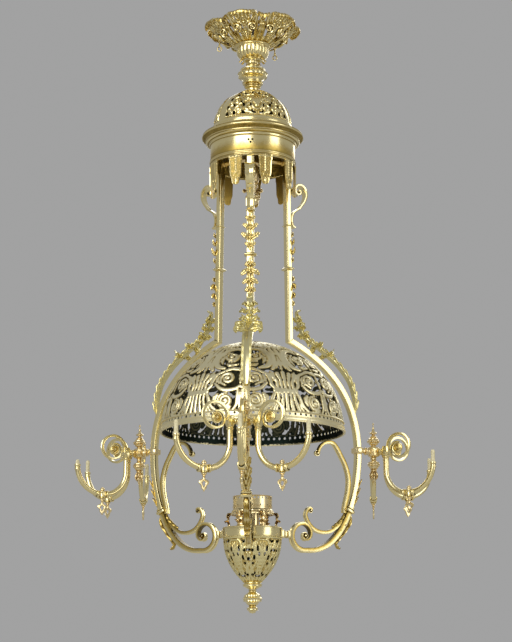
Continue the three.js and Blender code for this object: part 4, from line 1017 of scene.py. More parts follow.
def main_key_forms():
    """The main cock's key: a turned body with flutes and lobes, two round wings and a ring."""

    def ripple(azimuth, radius, height):
        """Ten flutes as a cosine, and lobes as a sine that turns with the height."""
        flute = np.clip(1 - np.abs(height + 462) / 9, 0, 1)
        lobe = np.clip(1 - np.abs(height + 482) / 10, 0, 1)
        return (
            1.2 * flute * np.cos(10 * azimuth)
            - 1.5 * lobe * np.abs(np.sin(4 * azimuth + height / 9))
        )

    forms = [turned([
        (0, -397), (6.2, -397), (6.2, -440.2), (11.5, -440.6, -0.5), (15, -446, -0.4),
        (13.5, -450, 0.4), (10.6, -456), (10.6, -469, 0.3), (16, -473, -0.4), (20, -479, -0.5),
        (20, -486, -0.3), (15, -493, 0.3), (8, -499, -0.6), (5.5, -503), (0, -503.5)
    ], 6, 96, ripple, 0.75)]
    for side in (-1, 1):
        arm = carry(
            [(side * x, 0, -463) for x in (6, 12, 18, 22)], [(0, 1, 0)] * 4, ROUND,
            [3.4, 2.6, 2.6, 3], 4.4
        )
        lobe = rosette((side * 21.8, 0, -463), 5.6, 4)
        forms += [arm, lobe, ball((side * 26, 0, -463), 1.4)]
    return [*forms, wire_ring((0, 0, -506), 4.2, 4.2, 1.35, 20)]


# Arms and their castings

# The pulls and ends of the curve that the lower scroll carries on from the tube
FOOT_CURVE = ((311, -1140), (311, -1258), (257, -1398), (163, -1399))
# The middles of the collar on the tube and of the smaller one above it
COLLAR = (104.7, 0, -664)
TOP_COLLAR = (103.6, 0, -546)
# Points of the arm's path under each of the leaves on its bend
LEAF_STEPS = 8


def arm_path():
    """The middle of the tube: straight down to a mitre, then two cubic curves to the foot of the
    lower scroll; with it the scale of the section, larger where the mitre cuts it aslant."""
    corner = np.array([107.5, -857.0])
    slope = cubic(corner, (215, -905), (311, -985), FOOT_CURVE[0], 44)
    away = unit(slope[1] - corner)
    down = unit(corner - (101, -356.5))
    straight = np.array([
        (101, -356.5), corner - 300 * down, corner - 0.6 * down, corner, corner + 0.6 * away
    ])
    lower = cubic(*FOOT_CURVE, 80)[1:35]
    path = np.vstack([straight, slope[1:], lower])
    scale = np.ones(len(path))
    scale[3] = 1 / math.sqrt((1 + down @ away) / 2)
    return path, scale


def sprig(face, root, tip, rows):
    """A bunch of leaves flat on a tube's outer face, growing from one height to another: a tapering
    middle plate and, at each row (share, reach, half width), a pair of toothed leaves that spread
    sideways and forward, with a curled tongue between them."""
    s = np.linspace(0, 1, 12)
    sense, length = np.sign(tip - root), tip - root
    height = np.linspace(root, tip, 30)
    plate = np.stack([0 * height + face + 2.4, 0 * height, height], 1)
    widths = swollen(plate, 8.5, 0.14, 0.8, 0.5)
    forms = [leaf(
        plate, np.broadcast_to([1.0, 0, 0], (30, 3)), widths, 4, 0.1, 0.3, 3.0, 0.8, 0.25
    )]
    for share, reach, wide in rows:
        z = root + length * share
        for side in (-1, 1):
            way = np.stack([
                face + 3 + 3.5 * np.sin(2.8 * s), side * (1.5 + (reach - 1.5) * s),
                z + sense * wide * (1.5 * s**1.5 - 0.6)
            ], 1)
            half = swollen(way, wide, 0.2, 0.76, 0.7)
            forms.append(leaf(
                way, np.broadcast_to(unit(np.array([1, side * 0.25, 0])), (12, 3)), half, 3, 0.2,
                0.3, 2.4, 0.5, 0.42
            ))
        x = face + 4 + 7 * s**1.6
        climb = z + sense * wide * (-0.9 + 2.0 * s - 0.7 * s**3)
        slope = unit(np.stack([np.abs(np.gradient(climb)), 0 * s, -sense * np.gradient(x)], 1))
        forms.append(leaf(
            np.stack([x, 0 * s, climb], 1), slope, swollen(x, 0.62 * wide, 0.2, 0.68), 2, -0.2, 0.3,
            3.2, 0.3, 0.2
        ))
    for form in forms:
        form.relief = 0.5 + 0.5 * form.relief
    return forms


def arm_forms():
    """Rectangular tube with a collar and sprigs of leaves, carried along the arm's path."""
    tube = rounded(18.4, 13.9, 1.0)
    path, scale = arm_path()
    points, normals = upright(path)
    forms = polished([carry(points, normals, tube, 1, scale)], 0.92)
    ring = moulding([
        (11.5, -4.2), (13, -3.6), (14.4, -2, -0.4), (16, 0, -0.4), (14.4, 2), (13, 3.6), (11.5, 4.2)
    ], 3)
    square = rounded(2, 2, 0.2, 2)
    rings = np.stack([np.stack([
        COLLAR[0] + square[:, 1] * (r - 3.4), square[:, 0] * r, np.full(len(square), COLLAR[2] + z)
    ], 1) for r, z in ring])
    forms.append(skin(rings, 0.9))
    forms.append(skin((rings - COLLAR) * (0.84, 0.74, 0.5) + TOP_COLLAR, 0.9))
    forms += sprig(110.0, -655, -558, [
        (0.16, 13, 6.5), (0.4, 22.5, 9), (0.66, 18, 8), (0.88, 12, 6.5)
    ])
    forms += sprig(112.0, -673, -768, [
        (0.18, 13, 6.5), (0.4, 23, 9), (0.65, 19, 8), (0.88, 13, 6.5)
    ])
    low = points[(points[:, 2] < -1208) & (points[:, 0] > 270)]
    for begin, wide in ((0, 12), (5, 15), (10, 13)):
        part = low[begin : begin + LEAF_STEPS]
        way = unit(np.gradient(part, axis=0))
        out = np.stack([-way[:, 2], 0 * way[:, 0], way[:, 0]], 1)
        s = np.linspace(0, 1, len(part))
        for side in (-1, 1):
            spine = (
                part[::-1] + out * (8.4 + 3 * s[:, None] ** 2)
                + side * np.array([0, 1, 0]) * (3 + 8.5 * s[:, None])
            )
            widths = swollen(spine, 0.62 * wide, 0.16, 0.8, 0.7)
            forms.append(leaf(
                spine, out[::-1] + (0, side * 0.5, 0), widths, 3, 0.2, 0.3, 2.4, 0.6, 0.45
            ))
    return forms


def upper_scroll_forms():
    """Rolled band: its section is carried from the foot up and round into a coil with a button."""
    curve = flow([
        (125, -549), (118.5, -545), (115.1, -535), (115.6, -520), (121, -507), (133, -497),
        (139, -493), (143, -487), (152, -474), (157.5, -457), (153.5, -441), (143, -431.5),
        (130.5, -431.5), (122.5, -441), (123.5, -452), (131, -458), (138.5, -454), (138, -447),
        (132.5, -445.5)
    ], 6)
    out = tapered(curve, [0, 0.1, 0.5, 0.8, 1], [1.8, 3.2, 4.0, 3.2, 2.0])
    across = tapered(curve, [0, 0.3, 0.5, 0.62, 1], [8, 9.5, 11, 14, 12.5])
    points, normals = upright(curve)
    forms = polished([carry(points, -normals, STRAP, across, out)], 1)
    bump, around_bump = upright(flow([(136, -494.5), (141, -493), (145, -487)], 5))
    forms.append(carry(bump, -around_bump, ROUND, 8.6, np.linspace(3.8, 2.8, len(bump))))
    forms.append(rosette((133.5, 0, -449.5), 4.6, 12.6))
    flat = rounded(22, 22, 2)
    pad = [np.stack([
        np.full(len(flat), 110.9 + 3.6 * t), flat[:, 0] * scale, -526 + flat[:, 1] * scale
    ], 1) for t, scale in ((0, 1), (0.8, 1), (1, 0.8))]
    return forms + [skin(np.stack(pad), 0.8)]


def acanthus_forms():
    """The strip outside an arm: a thin strap with leaf tips standing along its outer face, and over
    the corner of the tube a whorl of drooping and rising toothed leaves with tongues on top."""
    spine = flow([
        (304.8, -1034), (304, -1008), (299, -982), (289, -955), (275, -935), (256, -914),
        (231, -894), (204, -875), (186, -864), (171, -855), (158, -849), (147, -836), (139, -819),
        (133, -806), (129, -792), (130, -779)
    ], 8)
    points, normals = upright(spine)
    normals = -normals
    root = tapered(points, [0, 0.08, 0.55, 0.7, 1], [5, 9, 9.6, 8, 4])
    forms = [carry(points, normals, STRAP, root, tapered(points, [0, 0.5, 1], [2.0, 2.6, 2.2]))]
    forms[0].relief = 0.6 + 0.4 * forms[0].relief
    for at in np.linspace(0.02, 0.6, 12):
        begin, end = int(at * (len(points) - 1)), int(min(at + 0.07, 1) * (len(points) - 1))
        part, outward = points[begin : end + 1], normals[begin : end + 1]
        t = np.linspace(0, 1, len(part))
        for side in (-1, 1):
            sideways = side * np.array([0, 1, 0])
            way = (
                part + (1.0 + 7.2 * t**1.7)[:, None] * outward
                + (8.0 + 1.6 * np.sin(2.2 * t))[:, None] * sideways
            )
            facing = unit(outward - 0.25 * sideways)
            widths = swollen(way, 4.0, 0.2, 0.72, 0.7)
            forms.append(leaf(way, facing, widths, 2, 0.2, 0.25, 2.6, 0.5, 0.4))
    upward = points[np.argsort(points[:, 2])]
    whorl_rows = (
        (-888, 28, -9, 10.5), (-866, 25, -22, 12), (-842, 18, 8, 9.5), (-821, 19, 8, 9),
        (-802, 12, 10, 8)
    )
    for height, reach, rise, wide in whorl_rows:
        out = np.interp(height, upward[:, 2], upward[:, 0]) - 2
        t = np.linspace(0, 1, 18)
        for side in (-1, 1):
            x = out + 7 * np.sin(math.pi * t) - 3 * t
            z = height + 10 * np.sin(math.pi * t * 0.7) * (rise < 0) + rise * t**1.6
            way = np.stack([x, side * (3 + reach * np.sin(t * 1.75)), z], 1)
            outward = np.stack([1 - 0.3 * t, side * 0.55 * t, 0.25 - 0.2 * t], 1)
            widths = swollen(way, wide, 0.12, 0.84, 0.6)
            forms.append(leaf(way, unit(outward), widths, 3, 0.3, 0.25, 2.8, 0.6, 0.42))
    for begin, end, wide in (
        ((168, -868), (150, -838), 11), ((152, -848), (139, -812), 11),
        ((140, -824), (133, -780), 10)
    ):
        middle = ((begin[0] + end[0]) / 2 + 6, (begin[1] + end[1]) / 2)
        way = [begin, middle, end, (end[0] + 8, end[1] + 5)]
        forms.append(side_leaf(way, 7, -1, (wide, 0.16, 0.8, 0.6), 3, -0.15, 0.35, 3.6, 0.6, 0.4))
    for form in forms[1:]:
        form.relief = 0.3 + 0.7 * form.relief
    return forms


def lower_scroll_forms():
    """The casting under an arm: its tapering strap follows the arm's cubic, then coils; the inner
    and the small scroll and a leaf spring from its collar, with a button in each coil."""
    curve = cubic(*FOOT_CURVE, 120)[50:117]
    turns = [
        coil((146, -1363), (-75, -270), (37, 30), 34),
        coil((146, -1363), (-276, -480), (29.5, 5), 40)
    ]
    path = flow(np.vstack([curve[::3], turns[0][::3], turns[1][::3]]), 3)
    forms = [ribbon(path, STRAP, 8.2, tapered(
        path, [0, 0.2, 0.45, 0.6, 0.85, 1], [9.6, 9.8, 8.4, 6.6, 4.6, 2]
    ))]
    forms.append(rosette((149, 0, -1363), 9, 9.4))
    inner = flow([
        (268, -1300), (270.5, -1280), (279, -1247), (282, -1210), (273, -1176), (257, -1146.5),
        (245, -1127.5), (233, -1117), (214, -1117.6), (200, -1127), (192, -1141), (191, -1150)
    ], 8)
    forms.append(ribbon(inner, STRAP, 6.2, tapered(inner, [0, 0.5, 1], [7.2, 6.6, 4.2])))
    forms.append(rosette((188, 0, -1148), 7.6, 7.2))
    small = flow([
        (263, -1321), (244, -1336), (222, -1349), (200, -1351.5), (178, -1345.5), (162, -1331),
        (153, -1312), (156, -1299), (164, -1292), (171, -1295)
    ], 7)
    forms.append(ribbon(small, STRAP, 5.8, tapered(small, [0, 0.5, 1], [6.4, 6.0, 4.0])))
    forms.append(rosette((167, 0, -1297.5), 6.6, 6.6))
    forms.append(arm_collar(280.9, -1294.8, (-0.389, -0.921), 28, 26, 8))
    forms.append(arm_collar(284, -1287.5, (-0.389, -0.921), 24, 21, 5))
    for stations, wide, lobes, depth in (
        ([
            (286, -1303), (286, -1324), (273, -1343), (254, -1365), (243, -1379), (247, -1389),
            (254, -1391)
        ], 9, 6, 4.5), ([(291, -1268), (293, -1279), (290, -1290), (288, -1298)], 8, 3, 3),
        ([(281, -1306), (270, -1325), (254, -1344), (240, -1356)], 9.5, 4, 4.5),
        ([(270, -1301), (262, -1314), (247, -1328), (232, -1339)], 8, 4, 4)
    ):
        forms.append(side_leaf(stations, 8, 1, (wide, 0.12, 0.84, 0.6), lobes, 0.35, 0.3, depth))
    return forms


def arm_collar(x, z, way, wide, deep, length):
    """A square collar with a swollen middle, threaded on the arm at a point along its way."""
    square = rounded(2, 2, 0.25, 2)
    way = np.array([way[0], 0, way[1]])
    across = np.array([-way[2], 0, way[0]])
    rings = []
    for share, scale in (
        (-0.5, 0.86), (-0.38, 0.97), (-0.12, 1), (0.12, 1), (0.38, 0.97), (0.5, 0.86)
    ):
        flat = square * (wide / 2 * scale, deep / 2 * scale)
        rings.append(
            np.array([x, 0, z]) + way * length * share + flat[:, :1] * (0, 1, 0)
            + flat[:, 1:] * across
        )
    return skin(np.stack(rings), 0.85)


# Brackets, branches, keys and burners

URN_REACH = 360.0
URN_HEIGHT = -1134.0
COCK_REACH = 104.0
COCK_HEIGHT = -1248.5
CUP_REACH = 175.3
CUP_TOP = -1173.0
# The middle and the radius of the bend that rises to the cup, seen from the side
BEND = (100.5, -1173.5)
BEND_RADIUS = 75


def urn_forms():
    """Bracket urn: turned finial, disc, bulb and long leafy drop round a bevelled eight-sided body,
    with a stepped neck and a clamp to the arm."""
    body = [
        (0, 12.2), (13.5, 12.2), (15.6, 10), (16.2, 4), (16.2, -6), (15.2, -11), (12, -13.6),
        (0, -13.6)
    ]

    def lobed(azimuth, radius, height):
        """Ten lobes round each bulb: one less a sine's size, fading above and below."""
        bulb = (
            np.clip(1 - np.abs(height - 27) / 8, 0, 1) + np.clip(1 - np.abs(height + 33) / 8, 0, 1)
        )
        bulb = bulb + 0.8 * np.clip(1 - np.abs(height + 64) / 9, 0, 1)
        return -1.5 * bulb * (1 - np.abs(np.sin(5 * azimuth))) * (radius > 3)

    forms = [
        turned([
            (0, 78), (2.2, 76, -0.5), (3, 72.5, -0.5), (1.4, 68), (1.8, 66, 0.3), (2.6, 60),
            (5.5, 53, 0.3), (10.4, 49.5, -0.5), (10, 47.6), (4, 46.4), (3.6, 43, 0.3),
            (9.6, 39.4, -0.7), (10.2, 37), (13.5, 34.5, -0.4), (18, 29, -0.5), (17.6, 25, -0.3),
            (12, 20, 0.3), (7.6, 17.5), (6.6, 15.5), (7, 9.5), (0, 9.5)
        ], 5, 80, lobed, 0.8),
        turned([
            (0, -12), (9.5, -13.2), (6.4, -16, 0.4), (6, -22), (8, -24, -0.5), (14.5, -27.5, -0.4),
            (17.8, -32.5, -0.5), (17, -38, -0.3), (11, -43, 0.4), (7.6, -46), (9.2, -48.5, -0.7),
            (7.4, -51), (4.8, -54, 0.4), (5.2, -58, -0.3), (8.8, -65, -0.4), (8, -71),
            (3.6, -77, 0.3), (2.2, -79), (3, -81, -0.7), (1.6, -83), (0, -84)
        ], 5, 80, lobed, 0.8), revolve(body, 8, None, 0.75).spun(22.5)
    ]
    for turn in range(0, 360, 45):
        boss = rosette((0, 0, 0), 3.4, 1.6)
        forms.append(boss.spun(90).moved((15.6, 0, -1)).spun(turn))
    way = [(3.5, -48), (7.6, -54), (10.4, -62), (9, -70), (4, -76)]
    forms += around([side_leaf(way, 5, 1, (4.2, 0.15, 0.8), 3, 0.3, 0.3, 1.2)], 5)
    neck = turned([
        (0, 11), (8, 11, -0.3), (10.4, 15.5, 0.4), (7, 18), (6, 20), (9, 22.5, -0.7), (9, 27),
        (5.6, 28.5), (5.6, 36.4), (0, 36.4)
    ], 4, 40).through(AGAINST_X)
    box = arm_collar(-49, 0, (1, 0), 28.3, 15.8, 23.6)
    cheeks = arm_collar(-49, 0, (1, 0), 24, 19, 17)
    forms += [neck, box, cheeks]
    return [form.moved((URN_REACH, 0, URN_HEIGHT)) for form in forms]


def branch_path():
    """Middle of the gas tube: down from its block, round two quarter bends and up to the cup."""
    down = np.array([(38, -1144), (38, -1186)])
    first = coil((100.5, -1186), (180, 270), (62.5, 62.5), 30)[1:]
    second = coil(BEND, (270, 356), (BEND_RADIUS, BEND_RADIUS), 40)[1:]
    return np.vstack([down, first, second, (CUP_REACH, -1179.5)])


def branch_forms():
    """A branch seen from the side: neck, square block, tube, volute with its rosette, cock barrel,
    and the leaf that wraps the riser up to the cup."""
    forms = polished([ribbon(branch_path(), ROUND, 6.9, 7.1)], 0.95)
    neck = turned([
        (0, 16.7), (7, 16.7, -0.4), (8.6, 19.5, 0.4), (5.2, 22), (5.2, 25, -0.5), (7.6, 27),
        (6, 29.2), (0, 29.2)
    ], 4, 32).through(ALONG_X)
    forms.append(neck.moved((0, 0, URN_HEIGHT)))
    forms.append(arm_collar(38, URN_HEIGHT, (1, 0), 18, 18, 17.6))
    forms.append(arm_collar(38, URN_HEIGHT, (0, 1), 17, 17, 25))
    forms.append(turned([
        (0, -1142), (8.4, -1142, -0.5), (8.8, -1146), (7.6, -1149, -0.8), (9.2, -1152),
        (7.4, -1155), (0, -1155)
    ], 4, 32).moved((38, 0, 0)))
    ring = coil((76, -1122), (200, -100), (31, 29.5), 26)
    volute = flow(np.vstack([ring, [
        (60, -1146.5), (54.5, -1135), (56, -1121), (65, -1112.5), (77, -1112.5)
    ]]), 3)
    out = tapered(volute, [0, 0.15, 0.8, 1], [5.0, 4.4, 3.8, 2.4])
    forms += polished([ribbon(volute, STRAP, np.linspace(5.4, 4.2, len(volute)), out)], 1)
    forms.append(rosette((72, 0, -1128), 14.2, 5.2))
    for side in (-1, 1):
        spine, outward = upright(flow([
            (40, -1127), (44, -1121), (46.5, -1112), (50, -1104), (55, -1100)
        ], 4))
        widths = swollen(spine, 4.6, 0.15, 0.8)
        forms.append(leaf(
            spine + (0, side * 2.2, 0), outward * (1, 1, 1) + (0, side * 0.9, 0), widths, 3, 0.3,
            0.3, 1.4
        ))
    forms.append(turned([
        (0, -1237.6), (4.2, -1237.6, -0.5), (5, -1239.6), (9.2, -1240.2, -0.4), (9.8, -1243),
        (9.3, -1246), (9.3, -1251), (9.8, -1254, -0.4), (9.2, -1257), (6.8, -1258), (7.6, -1259.2),
        (6.6, -1260.4), (0, -1260.4)
    ], 4, 40).moved((COCK_REACH, 0, 0)))
    for at in (-1, 1):
        ring = turned([(7, -3.4), (8.6, -3, -0.6), (9.8, 0, -0.6), (8.6, 3), (7, 3.4)], 4, 32)
        forms.append(ring.through(ALONG_X).moved((COCK_REACH + 13.5 * at, 0, COCK_HEIGHT + 0.6)))
    forms.append(turned([
        (0, CUP_TOP - 14), (6.6, CUP_TOP - 14, -0.5), (7.7, CUP_TOP - 11.5, -0.5),
        (6.4, CUP_TOP - 9, 0.3), (6.8, CUP_TOP - 5, -0.3), (8.2, CUP_TOP - 2.4),
        (8.2, CUP_TOP - 0.1), (7.4, CUP_TOP - 0.1), (6.4, CUP_TOP - 2), (0, CUP_TOP - 2)
    ], 4, 40).moved((CUP_REACH, 0, 0)))
    turn = np.radians(np.linspace(298, 352, 22))
    for lift, spread in ((5.6, 6.8), (6.4, 4.6)):
        share = np.linspace(0, 1, 22)
        reach = BEND_RADIUS + lift + np.sin(math.pi * share) * 0.8 - share**4 * 1.5
        spine = np.stack([BEND[0] + reach * np.cos(turn), BEND[1] + reach * np.sin(turn)], 1)
        points, normals = upright(spine)
        widths = swollen(spine, spread, 0.1, 0.84, 0.7)
        forms.append(leaf(points, -normals, widths, 6, -0.4, 0.3, 1.8, 0.6, 0.5))
    return forms


def cock_key_forms():
    """A cock's key: dome nut above, plug, stem, and a three-lobed handle with a diamond eye, made
    as an outline band round the eye."""
    forms = [
        turned([
            (0, -1228.9), (1.6, -1229.4, -0.4), (2.2, -1231), (4.8, -1231.4, -0.5),
            (6.6, -1234.6, -0.2), (6.6, -1237.3), (0, -1237.3)
        ], 4, 28, None, 0.8),
        turned([
            (0, -1260.6), (6.2, -1260.6, -0.4), (6.2, -1263), (3.4, -1264.4, 0.3), (3.0, -1267.5),
            (4.2, -1269, -0.7), (3, -1271), (3, -1275), (0, -1276)
        ], 4, 28, None, 0.8)
    ]
    outline = flow([
        (0.2, -1271.6), (3.4, -1271.8), (5.6, -1274.4), (9.6, -1275.6), (12.6, -1279),
        (12.4, -1283.4), (9.2, -1286.4), (7.2, -1288.6), (6.8, -1292), (4.8, -1296.6),
        (0.4, -1300.2)
    ], 5)
    eye = flow([(0.1, -1278.4), (2.4, -1279.6), (4.2, -1283), (3.0, -1287), (0.1, -1291)], 8)
    share = np.linspace(0, 1, len(outline))
    eye = np.stack([np.interp(share, np.linspace(0, 1, len(eye)), eye[:, k]) for k in (0, 1)], 1)
    loop_out, loop_in = (np.vstack([p, p[-2:0:-1] * (-1, 1)]) for p in (outline, eye))
    shares, heights = (0, 0.18, 0.5, 0.82, 1), (1.0, 2.2, 1.7, 2.0, 0.9)
    rings = [
        np.stack([p[:, 0], 0 * p[:, 0] + sign * h, p[:, 1]], 1)
        for sign in (1, -1)
        for s, h in (list(zip(shares, heights))[:: sign])
        for p in [loop_out * (1 - s) + loop_in * s]
    ]
    band = np.stack(rings)
    forms.append(Form(band, grid_faces(len(band), band.shape[1], True, True), 0.9))
    forms.append(ball((0, 0, -1300.4), 2.0, 8))
    return [form.moved((COCK_REACH, 0, 0)) for form in forms]


def burner_forms(height):
    """A burner pillar: a tapered turned profile with a foot, a bead and a round tip."""
    base = -1174.8
    return [turned([
        (0, base), (6.2, base), (6.2, base + 3.5), (5.2, base + 4.6), (5, base + height - 6),
        (5.8, base + height - 4.6, -0.7), (5, base + height - 3.2),
        (4.2, base + height - 0.6, -0.3), (3.4, base + height + 2), (0, base + height + 2)
    ], 4, 32, None, 0.8).moved((CUP_REACH, 0, 0))]


def on_arm(forms, arm):
    """Forms drawn along +X, turned to an arm's side."""
    return [form.spun(ARM_TURN * (arm - 1) - 90) for form in forms]


def placed_on_branch(forms, arm, branch):
    """Forms drawn along +X on the axis, put on an arm's urn at a branch's angle."""
    spread = [form.spun(BRANCH_SPREAD * (branch - 2)).moved((URN_REACH, 0, 0)) for form in forms]
    return on_arm(spread, arm)


# Dome and lower parts

BASKET_TURN = -66.0
DOME_RADIUS = 234.0
DOME_SEAT = -1107.4
DOME_TURN = -95.0
# How far the grounds of the dome and the basket lie inside their outlines
DOME_SINK = 1.6
BASKET_SINK = 1.9


def dome_place(u, v, out):
    """The dome's point at azimuth u and polar angle v in degrees, out from the face of its
    ground."""
    return on_globe(u, v, DOME_RADIUS - DOME_SINK + out, DOME_SEAT)


def dome_strokes():
    """The dome's ornament in half a slice: scrolls at its edge line 0 and a fan of rods at 30."""
    found = [stroke([(22.8, 71.3), (26, 71.7), (30, 71.3)], [5.4, 6.6, 6.6], 2.5, 0.35)]
    for k in range(3):
        foot = 30 - 2.75 * k
        found.append(stroke([
            (foot, 69.6), (foot - 0.15 * k, 64.5), (30 - 4.0 * k - 0.5 * k * k, 58 + 0.9 * k)
        ], [3.5, 4.1, 5.4], 2.4))
        found.append(stroke([
            (foot, 73), (foot - 0.1 * k, 77.5), (30 - 3.5 * k - 0.35 * k * k, 84.6)
        ], [3.3, 3.8, 5.2], 2.4))
    found += [
        stroke([
            (23, 70), (20.6, 67.4), (19.8, 63.4), (17.4, 59.4), (13.2, 57.4)
        ], [3, 4.4, 5, 4.4, 3], 2.5, 0.45),
        stroke([(13.2, 57.4), (8, 55.4), (2.4, 55.6), (0, 57)], [3, 4.4, 4.6, 3.4], 2.5, 0.45),
        stroke([(22.6, 72.6), (20.8, 76), (19.2, 80.4), (14.6, 84.4)], [3, 4.4, 4.8, 3], 2.5, 0.45),
        stroke([
            (0, 68.4), (3.4, 70.4), (8.6, 71), (13.4, 69.8), (17.4, 66.2)
        ], [3.6, 4.6, 4.6, 3.0], 2.3, 0.3),
        stroke([(1.4, 71), (1.6, 76), (2.0, 81), (4.6, 84.6)], [2.6, 3.8, 3.8, 2.6], 2.2, 0.4),
        stroke([(0.4, 39.4), (3, 42.2), (4.6, 46), (8, 48.6), (11.6, 48.4)], [3, 3.8, 4, 2.6], 2.2),
        stroke([
            (2.2, 36), (8.4, 33.4), (16.6, 34.8), (22, 40.2), (23.2, 46.6), (19.8, 52.2),
            (13.4, 54.4)
        ], [3.6, 7.8, 9.8, 8.2, 3.6], 2.6, 0.42),
        stroke([(25, 35), (27, 42), (26, 49), (22.4, 55.4)], [2.6, 4.6, 4.6, 2.6], 2.3, 0.4),
        stroke([(30, 28), (27, 32.6), (27.6, 37.6), (30, 40)], [3.4, 4.4, 4.4, 3.4], 2.3, 0.4),
        stroke([(2, 31.4), (8, 27.4), (14.4, 28), (18, 31.6)], [3, 4.8, 4.8, 3], 2.3, 0.4),
        stroke([(30, 22.6), (22, 24.2), (18.6, 28.4), (21.6, 33)], [3.6, 4.6, 4.4, 2.6], 2.3, 0.4)
    ]
    for centre, angles, radii in (
        ((9.6, 78), (100, -620), (5.0, 0.9)), ((9.2, 62.8), (-80, 520), (4.9, 0.9)),
        ((9.6, 43.4), (70, -450), (4.3, 0.9)), ((24.4, 30), (160, -260), (2.4, 0.8))
    ):
        squeeze = math.sin(math.radians(centre[1]))
        found.append(whorl(centre, angles, radii, [2.6, 4.0, 3.6, 2.6], 2.6, squeeze))
        found.append(stroke([centre, (centre[0] + 0.2, centre[1])], 3.4, 2.7))
    leaves = [
        ([(5.4, 82), (10.4, 84.6), (16, 84.2)], 7),
        ([(14.6, 73.4), (16.6, 76.6), (15.6, 80.4)], 6.5),
        ([(14.2, 66), (16.6, 63.8), (15, 60.2)], 5), ([(0, 84.8), (0, 78), (0, 71.6)], 4.6),
        ([(0, 58), (0, 62), (0, 67.4)], 4.6), ([(23.6, 55.6), (26, 51), (26.6, 45)], 7),
        ([(30, 56), (30, 49), (30, 42.4)], 8.4), ([(3, 51.4), (9, 52), (12.4, 50.8)], 5),
        ([(16.4, 42.6), (18.2, 46.2), (16.4, 50.4)], 5.4),
        ([(14.4, 38.6), (17.6, 40), (19, 43.4)], 4.6), ([(0, 55), (0, 47), (0, 39.6)], 6.4),
        ([(10, 31), (15.4, 24.6), (20.5, 17)], 8.4), ([(5, 29), (7, 21.4), (9.5, 13)], 8),
        ([(25, 31), (27, 23), (28.8, 14)], 8), ([(0, 34), (0, 24), (0, 12.6)], 8.6),
        ([(18, 27), (20, 20), (25, 13)], 7), ([(20.6, 57.4), (22.4, 60), (22.2, 64.4)], 4.6),
        ([(20.4, 77.6), (21, 81), (18.4, 84.6)], 4)
    ]
    for path, wide in leaves:
        wide = wide * (0.7 if path[-1][1] < 46 else 1)
        found.append(stroke(path, [0.45 * wide, wide, wide, 0.3 * wide], 2.3, 0.5, 4))
    for foot, tip in (
        ((26.4, 54), (29.2, 47)), ((20, 38), (23.6, 30)), ((12, 26), (13, 16)),
        ((3.6, 33), (3.2, 24)), ((23, 22), (26, 15)), ((28.6, 41), (28.4, 33)),
        ((6, 47), (2.6, 41)), ((17, 22), (16.4, 15))
    ):
        found.append(stroke([foot, tip], [1.6, 3.2, 1.6], 2.2, 0.3))
    found += [
        stroke([(0, v), (15, v), (30, v)], half, rise)
        for v, half, rise in ((7.6, 8, 1.6), (11.2, 3, 2.4))
    ]
    return found


def dome_forms():
    """Openwork dome in twelve mirrored slices, between an eye ring and a rim band with square
    holes. Returns its lower openwork, its rim and its upper openwork."""
    strokes = dome_strokes()
    border = [stroke([(0, 86), (15, 86), (30, 86)], 8.4, 0.6)]
    low = openwork(dome_place, (30.0, 60), ((52.0, 84.4), 60), strokes + border, (), 0.9, 2.2)
    high = openwork(dome_place, (30.0, 46), ((5.8, 52.0), 66), strokes, (), 0.9, 2.2)
    lower, upper = (around(both_sides([half]), 6, DOME_TURN) for half in (low, high))
    cells = 192
    holes = np.zeros((3, cells, 2))
    holes[1, ::2] = (0.86, 0.9)
    polars = np.array([84.4, 85.0, 86.8, 90.0])

    def point(u, v, inset):
        """The rim band's point: a globe whose polar angle goes from row to row."""
        polar = np.interp(v, np.arange(len(polars)), polars)
        return on_globe(
            u * (360 / cells) + DOME_TURN, polar, DOME_RADIUS - 0.4 - 2.4 * inset, DOME_SEAT
        )

    rim = pierced(point, cells, 3, holes)
    rim[-3].relief[:] = 0.9
    rim.append(revolve([
        (231, -1083.9), (234.4, -1083.7), (235.4, -1085.2), (234.4, -1086.7), (231, -1087)
    ], 240))
    rim.append(turned([
        (233.4, -1096.4), (235.6, -1096.6, -0.7), (235.6, -1098.8), (234.6, -1100.4),
        (235, -1104.6), (237.6, -1105.6, -0.7), (237.8, -1109.4), (232.4, -1109.4), (232.2, -1099)
    ], 4, 240, None, 0.95))
    upper.append(turned([
        (24.2, -874.6), (28, -873.9, -0.4), (31, -875.2), (31, -878.4), (24.2, -877.6)
    ], 3, 96, None, 0.8))
    return lower, rim, upper


def ring_forms():
    """Bottom ring with three stepped bosses that take the feet of the lower scrolls."""
    forms = [turned([
        (72.2, -1349.1), (75, -1349.1, -0.4), (76, -1351), (75.6, -1352.4), (75.6, -1371),
        (76.2, -1372.6, -0.5), (75.4, -1374.5), (72.2, -1374.5)
    ], 4, 192)]
    foot = [
        arm_collar(80.5, -1361.8, (1, 0), 22, 21, 17), arm_collar(93, -1361.8, (1, 0), 14, 14, 9),
        arm_collar(101.6, -1361.8, (1, 0), 19, 19, 9.4),
        arm_collar(90, -1361.8, (1, 0), 17, 17, 2.4)
    ]
    return forms + around(foot, ARMS, -90)


